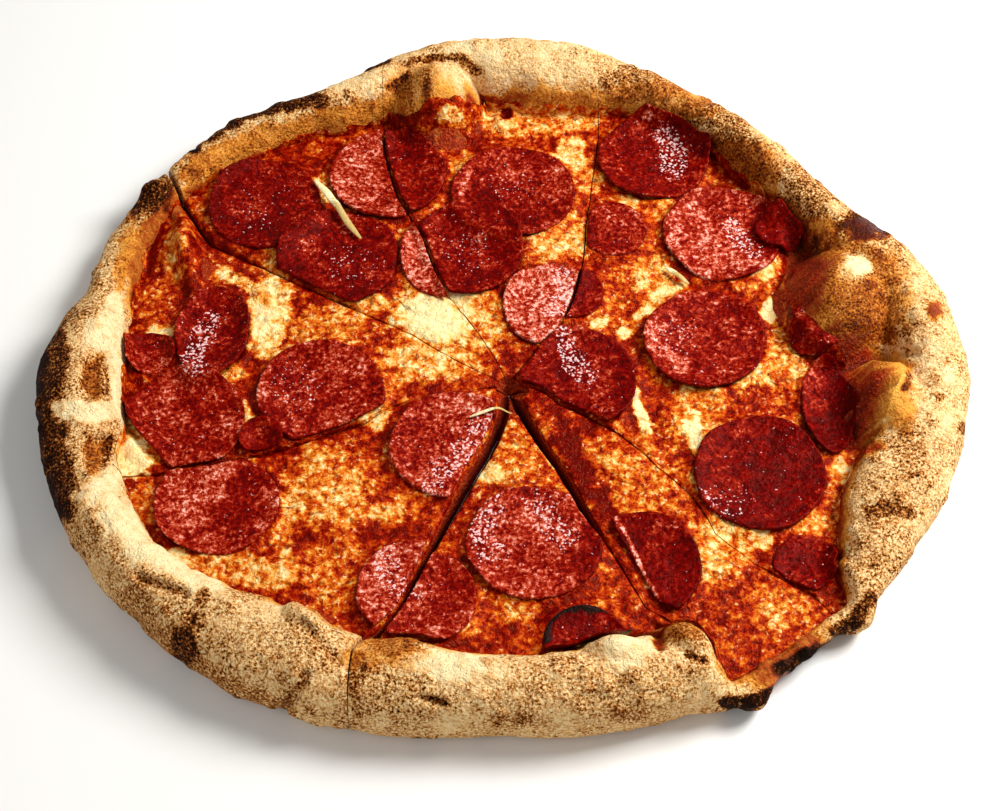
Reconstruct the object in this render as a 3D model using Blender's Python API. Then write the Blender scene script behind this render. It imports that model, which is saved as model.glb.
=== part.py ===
"""A salami pizza, cut with a wheel into seven slices that still lie together.

Each slice is a wedge of dough with its own raised rim, a layer of tomato sauce that runs
to the cuts, pools of melted cheese, slices of salami and three slivers of herb. Every one
of them is a closed body with a small gap to what it lies on.

Plan places are millimetres, x to the right and y to the back. Heights are millimetres
above the surface that the pizza rests on. The scene is in metres.
"""

import math
import random

import bmesh
import bpy
from mathutils import Vector, noise
from mathutils.bvhtree import BVHTree

MM = 0.001

# Driving dimensions, in millimetres.
PLAN_ORIGIN = (1.0, 16.1)  # plan place that becomes the world's origin: the outline's middle
CUT_CENTRE = (3.0, 4.0)  # plan place where the wheel's cuts meet; angles are taken about it
GAP = 0.4  # between pieces that touch
DOUGH_FLOOR = 5.0  # top of the dough under the toppings
SAUCE_THICKNESS = 1.7
SAUCE_EDGE = 0.5  # how far the sauce stays inside a cut face
RIM_WIDEST = 8.0  # height at which the rim bulges furthest out
RIM_TUCK = 4.0  # how far the underside is drawn in from the rim's widest line
SALAMI_THICKNESS = 1.9
CHEESE_REACH = 4.0  # a piece clears what lies this close under it
DISC_REACH = 4.0
RIM_CLEARANCE = 2.5  # how far toppings stay inside the rim's foot

# The outline, the rim's inner foot and its crest: (degrees about the cut centre, mm).
OUTLINE = [
    (0, 157), (12, 156), (19, 153), (25, 147), (30, 143), (36, 142), (46, 144), (55, 147),
    (62, 150), (70, 153), (80, 158), (92, 158), (101, 157), (106, 155), (112, 151), (119, 150),
    (126, 154), (132, 158), (140, 157), (148, 157), (156, 157), (166, 153), (173, 157),
    (180, 161), (190, 159), (200, 157), (210, 154), (220, 150), (232, 147), (242, 143),
    (252, 139), (262, 135), (270, 133), (280, 135), (292, 137), (298, 141), (302, 146),
    (305, 141), (310, 141), (315, 142), (320, 148), (324, 145), (332, 147), (342, 151),
    (350, 154),
]
RIM_FOOT = [
    (3, 133), (10, 129), (18, 123), (24, 122), (29, 123), (33, 124), (40, 125), (48, 127),
    (56, 131), (62, 134), (70, 134), (76, 130), (84, 127), (92, 130), (97, 136), (102, 139),
    (107, 136), (112, 132), (118, 132), (125, 137), (132, 140), (140, 143), (150, 145),
    (158, 143), (164, 138), (171, 134), (180, 131), (189, 130), (195, 134), (202, 133),
    (210, 132), (217, 127), (224, 121), (231, 115), (238, 112), (246, 111), (254, 107),
    (262, 108), (270, 109), (282, 109), (292, 109), (298, 113), (301, 134), (305, 134),
    (311, 135), (317, 136), (321, 138), (325, 128), (330, 123), (336, 118), (344, 119),
    (350, 127), (356, 131),
]
RIM_CREST = [
    (0, 23), (10, 24), (20, 24), (30, 22), (40, 21), (52, 21), (62, 19), (70, 21), (80, 24),
    (92, 25), (100, 24), (110, 23), (118, 21), (125, 18), (132, 16), (140, 15), (150, 16),
    (158, 14), (166, 17), (176, 22), (186, 24), (195, 21), (205, 23), (218, 24), (230, 24),
    (242, 25), (250, 22), (262, 24), (275, 25), (288, 25), (296, 23), (301, 11), (306, 9.5),
    (312, 9.5), (318, 11), (324, 15), (332, 18), (342, 21), (352, 22),
]

# Domes that stand up out of dough or sauce: (x, y, half width, half depth, turn, top).
DOMES = {
    "big_bubble": (119, 36, 22, 27, 15, 28),
    "back_bubble": (-24, 134, 20, 19, 0, 27),
    "right_fold": (131, -8, 14, 23, 4, 27),
    "front_knob": (57, -104.5, 13, 11, -25, 28),
    "front_swelling": (35, -108.5, 16, 10.5, 0, 28),
    "left_knob": (-125, 86, 10, 9, 40, 19),
    "left_fold": (-112, 62, 6, 26, 12, 12),
    "back_crumple": (57, 136, 16, 8, -20, 21),
    "front_left_swelling": (-60, -98, 16, 9, -35, 27),
}

# The wheel's cuts, from the centre outwards: (x, y, width of the gap).
CUTS = {
    "front_left": [
        (1, -8, 4.5), (-9, -32, 5.0), (-17, -50, 3.6), (-24, -66, 2.4), (-32, -85, 1.8),
        (-41, -97, 3.6), (-45, -106, 1.6), (-46, -131, 0.8),
    ],
    "front_right": [
        (8, -8, 4.0), (20, -30, 3.8), (28, -48, 3.2), (37, -65, 1.4), (46, -84, 1.0),
        (58, -92, 1.0), (68, -102, 1.2), (75, -125, 1.0),
    ],
    "right": [
        (7, 4, 1.4), (20, -4, 1.6), (40, -17, 1.4), (52, -30, 1.2), (63, -42, 1.0),
        (70, -57, 1.0), (82, -68, 0.9), (100, -80, 0.9), (112, -97, 1.2),
    ],
    "back": [
        (6, 9, 1.0), (20, 27, 1.2), (28, 50, 1.2), (31, 75, 1.0), (34, 97, 1.0), (37, 120, 0.9),
        (37, 142, 0.9), (36, 162, 0.8),
    ],
    "back_left": [
        (1, 9, 0.9), (-19, 43, 1.2), (-27, 67, 1.4), (-37, 88, 1.2), (-43, 112, 1.0),
        (-44, 130, 0.9), (-43, 160, 0.8),
    ],
    "left_back": [
        (-1, 6, 0.9), (-30, 25, 1.2), (-55, 39, 1.6), (-83, 55, 1.8), (-104, 67, 2.0),
        (-116, 86, 2.4), (-124, 100, 2.2), (-134, 110, 1.6),
    ],
    "left": [
        (-2, 3, 0.9), (-22, 0, 1.0), (-38, -6, 1.4), (-46, -12, 2.0), (-70, -22, 1.6),
        (-95, -30, 2.0), (-112, -33, 1.6), (-132, -35, 1.0), (-158, -40, 0.8),
    ],
}

# Slices, anticlockwise: the cut it starts at, the cut it ends at, tip radius, columns.
SLICES = {
    "back": ("back", "back_left", 4, 14),
    "back_left": ("back_left", "left_back", 4, 11),
    "left": ("left_back", "left", 4, 16),
    "front_left": ("left", "front_left", 5, 16),
    "front": ("front_left", "front_right", 13, 15),
    "front_right": ("front_right", "right", 7, 8),
    "right": ("right", "back", 4, 31),
}
FLAT_ROWS = 6
RIM_ROWS = 9
TUCK_ROWS = 2

# Pools of melted cheese: slice, place, half sizes, turn, thickness.
CHEESE = {
    "cheese_white_pool": ("back_left", -24, 30, 17, 12, -10, 1.7),
    "cheese_left_pool": ("left", -84, 32, 9, 20, 0, 1.8),
    "cheese_left_browned": ("left", -60, 24, 13, 8, -20, 1.4),
    "cheese_front_left": ("front_left", -54, -42, 20, 24, 35, 1.7),
    "cheese_front_edge": ("front_left", -72, -66, 17, 9, -30, 1.5),
    "cheese_front_tip": ("front", 3, -30, 10, 9, 0, 1.5),
    "cheese_right_curds": ("front_right", 42, -30, 12, 7, -40, 1.8),
    "cheese_right_long": ("right", 62, -16, 13, 8, -50, 1.8),
    "cheese_front_right": ("front_right", 67, -66, 9, 7, -40, 1.8),
    "cheese_right_golden": ("right", 99, 8, 7, 13, 10, 1.5),
    "cheese_right_corner": ("right", 89, 51, 10, 6, 25, 1.5),
    "cheese_back_golden": ("back", 15, 63, 12, 9, 0, 1.7),
}

# Salami: slice, disc place, radius, curl of its edge, (lift towards, mm), own hub.
SALAMI = {
    "salami_01": ("back_left", -86, 85, 21.0, 1.2, (150, 0.6), None),
    "salami_02": ("back_left", -58, 59, 22.0, 1.3, (150, 0.9), None),
    "salami_03": ("back_left", -42, 99, 21.5, 1.2, (90, 0.9), (-51, 99)),
    "salami_04": ("back", -41, 99, 21.0, 1.4, (200, 1.2), (-31, 97)),
    "salami_05": ("back", 5, 91, 22.5, 1.4, (200, 0.3), None),
    "salami_06": ("back", -12, 63, 21.0, 1.8, (0, 1.2), (-8, 64)),
    "salami_07": ("back_left", -15, 61, 21.5, 0.5, (0, 0.0), (-29, 60)),
    "salami_08": ("right", 41, 73, 12.5, 0.6, (0, 0.0), None),
    "salami_09": ("right", 57, 107, 20.5, 1.8, (60, 3.0), None),
    "salami_10": ("right", 80, 70, 21.5, 1.6, (40, 0.6), None),
    "salami_11": ("right", 101, 71, 9.0, 0.9, (30, 0.6), None),
    "salami_12": ("back", 20, 37, 19.0, 1.0, (30, 0.9), (12, 38)),
    "salami_13": ("right", 25, 44, 12.0, 0.6, (220, 0.3), (33, 42)),
    "salami_14": ("right", 25, 5, 22.0, 1.8, (0, 1.2), None),
    "salami_15": ("right", 71, 22, 21.5, 1.8, (220, 1.2), None),
    "salami_16": ("right", 109.5, 23, 9.6, 0.8, (20, 0.3), None),
    "salami_17": ("left", -100, 25, 20.0, 2.4, (0, 0.6), None),
    "salami_18": ("left", -121, 16, 9.0, 0.6, (180, 0.6), None),
    "salami_19": ("left", -61, -1, 22.0, 1.4, (180, 0.6), (-62, 2)),
    "salami_20": ("left", -106, -12, 20.5, 1.0, (270, 0.6), None),
    "salami_21": ("front_left", -93, -46, 20.5, 1.2, (180, 0.3), (-93, -48)),
    "salami_22": ("left", -80, -20, 7.5, 0.8, (270, 0.6), (-80, -21)),
    "salami_23": ("front_left", -16, -22, 21.5, 1.3, (200, 0.3), (-19, -20)),
    "salami_24": ("front_left", -27, -79, 19.0, 1.0, (200, 0.6), (-36, -78)),
    "salami_25": ("front", -24, -82, 17.0, 1.0, (20, 0.3), (-18, -83)),
    "salami_26": ("front", 11, -61, 22.0, 1.3, (90, 0.6), None),
    "salami_27": ("front_right", 45, -70, 20.0, 1.3, (60, 1.2), (52, -70)),
    "salami_28": ("right", 86, -34, 22.5, 1.6, (60, 0.6), None),
    "salami_29": ("front", 27, -98, 13.5, 1.2, (270, 2.4), (27, -95)),
    "salami_30": ("right", 98, -69, 10.5, 0.7, (320, 0.6), None),
    "salami_31": ("right", 111, -7, 19.0, 1.0, (0, 5.0), None),
}
# Folded slices are narrower than they are deep: width as a share of the disc's.
SALAMI_WIDTHS = {"salami_17": 0.66, "salami_31": 0.48}
SALAMI_INSETS = {"salami_27": 4.0}  # how far they stay back from a cut, where not 0.9
SALAMI_CHORDS = {"salami_20": (221.6, 15.7)}  # a straight side: where it faces, how far out it is

DISC_SEGMENTS = 16
DISC_RINGS = (0.60, 1.0)
POOL_SEGMENTS = 14
POOL_RINGS = (0.60, 1.0)

# Slivers of herb: the places it lies over, its half thickness.
HERBS = {
    "herb_long": ([(-68, 95), (-63, 88), (-59, 81), (-55, 74), (-50, 67)], 1.3),
    "herb_twig": ([(-10.2, -11.6), (-5.4, -10.4), (-0.8, -8.8), (4.2, -7.2)], 0.6),
    "herb_short": ([(59, 55), (63, 51), (67, 47)], 1.0),
}

MATERIALS = {  # base colour, roughness
    "dough": ((0.78, 0.52, 0.27), 0.75),
    "sauce": ((0.42, 0.04, 0.01), 0.35),
    "cheese": ((0.88, 0.60, 0.22), 0.40),
    "salami": ((0.27, 0.02, 0.02), 0.38),
    "herb": ((0.62, 0.50, 0.24), 0.60),
}

surfaces = []  # BVH trees, in millimetres, of the pieces already laid


def clear_scene():
    for obj in list(bpy.data.objects):
        bpy.data.objects.remove(obj, do_unlink=True)


def polar(x, y):
    """Radius, and angle from 0 to 360, about the cut centre."""
    dx = x - CUT_CENTRE[0]
    dy = y - CUT_CENTRE[1]
    return math.hypot(dx, dy), math.degrees(math.atan2(dy, dx)) % 360


def place(radius, angle):
    turn = math.radians(angle)
    x = CUT_CENTRE[0] + radius * math.cos(turn)
    y = CUT_CENTRE[1] + radius * math.sin(turn)
    return x, y


def around(table, angle):
    """The table's value at an angle, eased between its points and closed at 360."""
    angle %= 360
    points = [(table[-1][0] - 360, table[-1][1])] + table + [(table[0][0] + 360, table[0][1])]
    for (a0, v0), (a1, v1) in zip(points, points[1:]):
        if a0 <= angle <= a1:
            t = (angle - a0) / (a1 - a0)
            t = t * t * (3 - 2 * t)
            return v0 + (v1 - v0) * t
    raise ValueError(angle)


def cut_line(name):
    """The cut as (radius, angle, width), with angles that don't jump at 360."""
    line = []
    for x, y, width in CUTS[name]:
        radius, angle = polar(x, y)
        if line:
            angle += 360 * round((line[-1][1] - angle) / 360)
        line.append((radius, angle, width))
    return line


CUT_LINES = {name: cut_line(name) for name in CUTS}


def cut_at(name, radius):
    """Angle and width of a cut at a radius."""
    line = CUT_LINES[name]
    if radius <= line[0][0]:
        return line[0][1], line[0][2]
    for (r0, a0, w0), (r1, a1, w1) in zip(line, line[1:]):
        if radius <= r1:
            t = (radius - r0) / (r1 - r0)
            return a0 + (a1 - a0) * t, w0 + (w1 - w0) * t
    return line[-1][1], line[-1][2]


def slice_span(slice_name, radius, inset=0.0):
    """The first and last angle of a slice at a radius, inside its two cut faces."""
    first_cut, last_cut, _, _ = SLICES[slice_name]
    first, first_width = cut_at(first_cut, radius)
    last, last_width = cut_at(last_cut, radius)
    last += 360 * math.ceil((first - last) / 360)
    first += math.degrees((first_width / 2 + inset) / radius)
    last -= math.degrees((last_width / 2 + inset) / radius)
    return first, last


def inside_slice(slice_name, x, y, inset):
    radius, angle = polar(x, y)
    if radius < SLICES[slice_name][2] + inset:
        return False
    first, last = slice_span(slice_name, radius, inset)
    angle += 360 * math.ceil((first - angle) / 360)
    return angle < last


def ripple(x, y, size, seed):
    """Smooth noise from -1 to 1 with bumps of about this size in millimetres."""
    return noise.noise(Vector((x / size, y / size, seed * 7.31)))


def domes(x, y):
    """Height of the highest dome over a place, or 0."""
    top = 0.0
    for cx, cy, half_width, half_depth, turn, height in DOMES.values():
        c, s = math.cos(math.radians(turn)), math.sin(math.radians(turn))
        u = ((x - cx) * c + (y - cy) * s) / half_width
        v = ((y - cy) * c - (x - cx) * s) / half_depth
        d2 = u * u + v * v
        if d2 < 1:
            top = max(top, height * (1 - d2) ** 0.7)
    return top


def raised(height, x, y, ease=3.0):
    """The greater of a height and the domes over it, rounded where they meet."""
    dome = domes(x, y)
    share = max(ease - abs(height - dome), 0) / ease
    return max(height, dome) + share * share * ease / 4


def rim_height(angle, s):
    """Height of the rim's upper side: s is 0 at its inner foot and 1 at its widest."""
    crest = around(RIM_CREST, angle)
    low, power = (DOUGH_FLOOR, 0.9) if s < 0.5 else (RIM_WIDEST, 0.72)
    return low + (crest - low) * math.sin(math.pi * s) ** power


def dough_column(slice_name, share):
    """One line of points from a slice's tip, over its rim and down to the floor."""

    def angle_at(radius):
        first, last = slice_span(slice_name, radius)
        return first + (last - first) * share

    tip = SLICES[slice_name][2]
    foot = around(RIM_FOOT, angle_at(125))
    outer = around(OUTLINE, angle_at(150))
    edge_angle = angle_at(140)
    column = []
    for i in range(FLAT_ROWS + 1):
        radius = tip + (foot - tip) * (1 - (1 - i / FLAT_ROWS) ** 1.4)
        x, y = place(radius, angle_at(radius))
        height = DOUGH_FLOOR + 0.5 * ripple(x, y, 34, 1)
        column.append((x, y, raised(height, x, y)))
    for i in range(1, RIM_ROWS + 1):
        s = i / RIM_ROWS
        radius = foot + (outer - foot) * (1 - math.cos(math.pi * s)) / 2
        x, y = place(radius, angle_at(radius))
        fade = min(1.0, (1 - s) * 4)  # relief dies out towards the rim's widest line
        height = rim_height(edge_angle, s)
        height += fade * (1.1 * ripple(x, y, 21, 2) + 0.5 * ripple(x, y, 9, 3))
        lifted = raised(height, x, y)
        column.append((x, y, height + (lifted - height) * min(1.0, fade * 1.6)))
    for i in range(1, TUCK_ROWS + 1):
        t = i / TUCK_ROWS
        radius = outer - RIM_TUCK * t * t
        x, y = place(radius, angle_at(radius))
        column.append((x, y, RIM_WIDEST * (1 - t)))
    return column


def dough_columns(slice_name):
    count = SLICES[slice_name][3]
    return [dough_column(slice_name, j / count) for j in range(count + 1)]


def new_object(name, bm, material):
    """A mesh object from a bmesh in plan millimetres, with its faces turned outwards."""
    bmesh.ops.recalc_face_normals(bm, faces=bm.faces)
    surfaces.append(BVHTree.FromBMesh(bm))
    for vert in bm.verts:
        vert.co = Vector(
            (vert.co.x - PLAN_ORIGIN[0], vert.co.y - PLAN_ORIGIN[1], vert.co.z)
        ) * MM
    mesh = bpy.data.meshes.new(name)
    bm.to_mesh(mesh)
    bm.free()
    mesh.materials.append(material)
    obj = bpy.data.objects.new(name, mesh)
    pizza.objects.link(obj)
    return obj


def make_material(name, colour, roughness):
    material = bpy.data.materials.new(name)
    material.use_nodes = True
    shader = material.node_tree.nodes["Principled BSDF"]
    shader.inputs["Base Color"].default_value = (*colour, 1.0)
    shader.inputs["Roughness"].default_value = roughness
    shader.inputs["Metallic"].default_value = 0.0
    return material


def skin(bm, columns):
    """A sheet over a table of vertices, always split along the same diagonal."""
    for left, right in zip(columns, columns[1:]):
        for i in range(len(left) - 1):
            bm.faces.new((left[i], right[i], right[i + 1]))
            bm.faces.new((left[i], right[i + 1], left[i + 1]))


def border(columns):
    """The vertices round the edge of a table of them, in order."""
    far = [column[-1] for column in columns[1:]]
    near = [column[0] for column in columns[-2:0:-1]]
    return columns[0] + far + columns[-1][-2::-1] + near


def make_dough(slice_name):
    """A wedge: its skin, two upright cut faces, its tip, and a flat underside."""
    bm = bmesh.new()
    columns = dough_columns(slice_name)
    tops = [[bm.verts.new(point) for point in column] for column in columns]
    skin(bm, tops)
    last = FLAT_ROWS + RIM_ROWS  # the rows after it curl back under the rim
    feet = []
    for side in (0, -1):
        column = tops[side]
        floor_edge = column[-1]
        reach = polar(floor_edge.co.x, floor_edge.co.y)[0]
        foot = []
        for vert in column[: last + 1]:
            if polar(vert.co.x, vert.co.y)[0] < reach - 0.5:
                foot.append(bm.verts.new((vert.co.x, vert.co.y, 0.0)))
        for i in range(len(foot) - 1):
            bm.faces.new((column[i], column[i + 1], foot[i + 1], foot[i]))
        fan = column[len(foot) - 1 : -1]
        bm.faces.new((fan[0], fan[1], floor_edge, foot[-1]))
        for a, b in zip(fan[1:], fan[2:]):
            bm.faces.new((a, b, floor_edge))
        feet.append(foot)
    tip_feet = [bm.verts.new((c[0].co.x, c[0].co.y, 0.0)) for c in tops[1:-1]]
    tip_line = [feet[0][0], *tip_feet, feet[1][0]]
    for (a, b), (low_a, low_b) in zip(zip(tops, tops[1:]), zip(tip_line, tip_line[1:])):
        bm.faces.new((a[0], b[0], low_b, low_a))
    rim_line = [column[-1] for column in tops]
    bm.faces.new([*feet[0], *rim_line, *reversed(feet[1]), *reversed(tip_feet)])
    return new_object("dough_" + slice_name, bm, materials["dough"])


def drawn_in(point, towards, distance):
    """A point moved along the straight line to its neighbour."""
    start = Vector(point)
    step = Vector(towards) - start
    return start + step * min(0.5, distance / max(step.xy.length, 0.01))


def make_sauce(slice_name):
    """The sauce of one slice: a sheet over the dough's flat rows, drawn in from the cuts."""
    columns = [column[: FLAT_ROWS + 1] for column in dough_columns(slice_name)]
    last = len(columns) - 1
    for column in columns:
        column[0] = drawn_in(column[0], column[1], SAUCE_EDGE)
    columns[0] = [drawn_in(a, b, SAUCE_EDGE) for a, b in zip(columns[0], columns[1])]
    columns[last] = [drawn_in(a, b, SAUCE_EDGE) for a, b in zip(columns[last], columns[last - 1])]
    bm = bmesh.new()
    tops, bottoms = [], []
    for j, column in enumerate(columns):
        top, bottom = [], []
        for i, (x, y, height) in enumerate(column):
            edge = i in (0, FLAT_ROWS) or j in (0, last)
            depth = 0.7 if edge else SAUCE_THICKNESS + 0.6 * ripple(x, y, 15, 5)
            bottom.append(bm.verts.new((x, y, height + GAP)))
            top.append(bm.verts.new((x, y, height + GAP + depth)))
        tops.append(top)
        bottoms.append(bottom)
    skin(bm, tops)
    skin(bm, bottoms)
    ring_top, ring_low = border(tops), border(bottoms)
    for i in range(len(ring_top)):
        k = (i + 1) % len(ring_top)
        bm.faces.new((ring_top[i], ring_top[k], ring_low[k], ring_low[i]))
    return new_object("sauce_" + slice_name, bm, materials["sauce"])


def surface_height(x, y):
    """Top of whatever is already laid at a place."""
    top = 0.0
    start = Vector((x, y, 90.0))
    for tree in surfaces:
        hit = tree.ray_cast(start, Vector((0, 0, -1)))[0]
        if hit:
            top = max(top, hit.z)
    return top


def over_rim(x, y, inside=0.0):
    """Whether a place is past the rim's inner foot, or within this distance of it."""
    radius, angle = polar(x, y)
    return radius > around(RIM_FOOT, angle) - inside


def rest_height(x, y, reach):
    """The highest point under a place and around it, so that a flat face between clears it."""
    heights = [surface_height(x, y)]
    for ring in (0.5, 1.0):
        for k in range(8):
            turn = math.tau * k / 8
            near = (x + reach * ring * math.cos(turn), y + reach * ring * math.sin(turn))
            if not over_rim(*near):
                heights.append(surface_height(*near))
    return max(heights)


def reach_from(hub, turn, allowed, step=0.5):
    """How far a ray runs from the hub before it leaves where the piece may lie."""
    distance = step
    while allowed(hub[0] + distance * math.cos(turn), hub[1] + distance * math.sin(turn)):
        distance += step
    return distance - step


def make_round_piece(name, hub, segments, rings, allowed, profile, reach, material):
    """A closed round sheet about a hub: profile gives (lift, thickness) at a place and a ring."""
    bm = bmesh.new()
    turns = [math.tau * k / segments for k in range(segments)]
    reaches = [reach_from(hub, turn, allowed) for turn in turns]

    def vertex_pair(x, y, ring):
        lift, thickness = profile(x, y, ring)
        low = rest_height(x, y, reach) + GAP + lift
        return bm.verts.new((x, y, low)), bm.verts.new((x, y, low + thickness))

    low_hub, top_hub = vertex_pair(hub[0], hub[1], 0.0)
    lows, tops = [], []
    for ring in rings:
        pairs = []
        for turn, far in zip(turns, reaches):
            x = hub[0] + ring * far * math.cos(turn)
            y = hub[1] + ring * far * math.sin(turn)
            pairs.append(vertex_pair(x, y, ring))
        lows.append([pair[0] for pair in pairs])
        tops.append([pair[1] for pair in pairs])
    for k in range(segments):
        n = (k + 1) % segments
        bm.faces.new((top_hub, tops[0][k], tops[0][n]))
        bm.faces.new((low_hub, lows[0][n], lows[0][k]))
        for r in range(len(rings) - 1):
            bm.faces.new((tops[r][k], tops[r + 1][k], tops[r + 1][n], tops[r][n]))
            bm.faces.new((lows[r][n], lows[r + 1][n], lows[r + 1][k], lows[r][k]))
        bm.faces.new((tops[-1][n], tops[-1][k], lows[-1][k], lows[-1][n]))
    bmesh.ops.triangulate(bm, faces=bm.faces)
    return new_object(name, bm, material)


def make_cheese(name, index):
    """A pool of melted cheese: uneven edge, thickest in the middle."""
    slice_name, cx, cy, half_width, half_depth, turn, thick = CHEESE[name]
    c, s = math.cos(math.radians(turn)), math.sin(math.radians(turn))

    def allowed(x, y):
        u = ((x - cx) * c + (y - cy) * s) / half_width
        v = ((y - cy) * c - (x - cx) * s) / half_depth
        edge = 1 + 0.45 * ripple(x, y, 9, 11 + index)
        on_pool = math.hypot(u, v) < edge and not over_rim(x, y, RIM_CLEARANCE)
        return on_pool and inside_slice(slice_name, x, y, 1.6)

    def profile(x, y, ring):
        dome = math.sqrt(max(0.0, 1 - ring * ring))
        return 0.0, 0.6 + (thick - 0.6) * dome + 0.2 * ripple(x, y, 6, 12)

    return make_round_piece(
        name, (cx, cy), POOL_SEGMENTS, POOL_RINGS, allowed, profile, CHEESE_REACH,
        materials["cheese"],
    )


def make_salami(name, index):
    """A slice of salami: a disc whose edge curls up, cut straight where a cut crosses it."""
    slice_name, cx, cy, disc, curl, (lift_angle, lift), hub = SALAMI[name]
    random.seed(index)
    phase = random.uniform(0, math.tau)

    width = SALAMI_WIDTHS.get(name, 1.0)
    inset = SALAMI_INSETS.get(name, 0.9)
    facing, chord = SALAMI_CHORDS.get(name, (0.0, disc))
    facing = math.radians(facing)

    def allowed(x, y):
        on_disc = math.hypot((x - cx) / width, y - cy) < disc
        on_disc = on_disc and (x - cx) * math.cos(facing) + (y - cy) * math.sin(facing) < chord
        on_topping = on_disc and not over_rim(x, y, RIM_CLEARANCE)
        return on_topping and inside_slice(slice_name, x, y, inset)

    def profile(x, y, ring):
        dx, dy = x - cx, y - cy
        out = min(1.0, math.hypot(dx / width, dy) / disc)
        turn = math.atan2(dy, dx)
        wave = 1 + 0.35 * math.sin(3 * turn + phase) + 0.2 * math.sin(5 * turn + 2 * phase)
        towards = out * math.cos(turn - math.radians(lift_angle))
        return curl * out**3 * wave + lift * max(0.0, towards) ** 2, SALAMI_THICKNESS

    return make_round_piece(
        name, hub or (cx, cy), DISC_SEGMENTS, DISC_RINGS, allowed, profile, DISC_REACH,
        materials["salami"],
    )


def make_herb(name):
    """A sliver of herb: a bevelled curve that lies over what is under it."""
    route, half = HERBS[name]
    heights = [rest_height(x, y, 3.0) + GAP + half + 0.5 for x, y in route]
    curve = bpy.data.curves.new(name, "CURVE")
    curve.dimensions = "3D"
    curve.bevel_depth = half * MM
    curve.bevel_resolution = 2
    curve.use_fill_caps = True
    spline = curve.splines.new("POLY")
    spline.points.add(len(route) - 1)
    for point, (x, y), height in zip(spline.points, route, heights):
        point.co = (
            (x - PLAN_ORIGIN[0]) * MM,
            (y - PLAN_ORIGIN[1]) * MM,
            height * MM,
            1.0,
        )
    for k, point in enumerate(spline.points):
        point.radius = 1.0 - 0.45 * k / len(route)
    obj = bpy.data.objects.new(name, curve)
    curve.materials.append(materials["herb"])
    pizza.objects.link(obj)
    return obj


clear_scene()
pizza = bpy.data.collections.new("Salami pizza")
bpy.context.scene.collection.children.link(pizza)
materials = {name: make_material(name, *look) for name, look in MATERIALS.items()}

for slice_name in SLICES:
    make_dough(slice_name)
for slice_name in SLICES:
    make_sauce(slice_name)
for number, cheese_name in enumerate(CHEESE):
    make_cheese(cheese_name, number)
for number, salami_name in enumerate(SALAMI):
    make_salami(salami_name, number)
for herb_name in HERBS:
    make_herb(herb_name)
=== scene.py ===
# The looks of a salami pizza that a wheel has cut into slices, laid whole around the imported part.
# Plan places are millimetres, x to the right and y to the back. Heights are millimetres above
# the table. Places of marks are read in the plan view that the camera has at markHeight.
import math

import bmesh
import bpy
import numpy as np
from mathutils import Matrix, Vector, noise


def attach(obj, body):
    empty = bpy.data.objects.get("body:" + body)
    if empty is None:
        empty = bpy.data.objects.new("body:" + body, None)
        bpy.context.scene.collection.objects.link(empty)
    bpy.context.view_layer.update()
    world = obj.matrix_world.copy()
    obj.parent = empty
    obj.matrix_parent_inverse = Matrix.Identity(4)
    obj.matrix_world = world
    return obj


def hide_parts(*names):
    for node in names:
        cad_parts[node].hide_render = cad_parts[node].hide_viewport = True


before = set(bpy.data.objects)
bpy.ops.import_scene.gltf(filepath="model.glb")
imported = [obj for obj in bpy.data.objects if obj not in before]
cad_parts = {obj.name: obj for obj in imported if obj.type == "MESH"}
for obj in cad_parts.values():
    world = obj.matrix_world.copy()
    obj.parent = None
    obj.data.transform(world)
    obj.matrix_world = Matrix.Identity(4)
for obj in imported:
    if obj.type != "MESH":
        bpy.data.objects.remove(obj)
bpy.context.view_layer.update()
print("frame loaded,", len(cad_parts), "nodes")

mm = 0.001
planOrigin = (1.0, 16.1)  # plan place that is the world's origin
cutCentre = (3.0, 4.0)  # where the cuts meet; angles are taken about it

camera = {
    "distance": 700.0,
    "elevation": 53.89,
    "lens": 73.2,
    "aim": (0.0, 0.0),  # plan place
}
markHeight = 10.0

dough = {
    "floor": 5.0,  # top of the dough under the toppings
    "rimWidest": 8.0,  # height at which the rim bulges furthest out
    "rimTuck": 4.0,
    "spacing": 0.85,  # size of its faces
    "flatRows": 14,
    "rimRows": 60,
    "tuckRows": 10,
    "wallRows": 5,
    "lip": 1.6,  # rounding of the edge beside a cut
    "lipDrop": (0.12, 0.72),  # how deep it is at a closed and at an open cut
    "inset": 0.1,  # how far toppings stay back from a cut
    "tipFoot": 0.2,  # the cuts narrow downwards, so that the slices nearly meet on the table
    "footInset": 0.06,
    "floorWave": (34, 0.5),  # size, height
    "rimWaves": [(21, 1.1), (9, 0.5)],  # size, height
    "rimRoundness": (0.9, 0.72),  # of its inner and its outer side, lower is boxier
    "rimGrow": 5,  # how soon its waves start at its foot
    "rimFade": 4,  # and how late they end on its outer side
    "domeFade": 1.6,
}
sauce = {
    "thickness": 1.7,
    "climb": 0.3,  # how far it reaches up the rim's inner side, as a share of the rim
    "lip": 1.1,
    "underside": 3.0,
    "spacing": 0.8,  # size of its faces
    "finestFrom": 64.0,  # radius from which its rows have all their columns
    "rimFrom": 128.0,
    "climbRows": 18,
    "relief": [(6.5, 0.5), (3.2, 0.35), (1.6, 0.12)],  # size, height of lumps in cheese
    "fadeFrom": 1.12,  # step at which it dives under the crust
    "fadeWave": [(10, 0.05), (4, 0.05)],  # size, swing
    "fadeSpan": (-0.1, 0.05),
    "dive": 7.0,
    "cutDrop": (0.08, 0.5),  # how far its edge drops at a closed and at an open cut
    "meltRise": 0.5,  # how much higher it stands where it is all cheese
    "bank": 1.15,  # how high it stands up round the salami, and how unevenly
    "bankSwing": 0.5,
}

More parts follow.
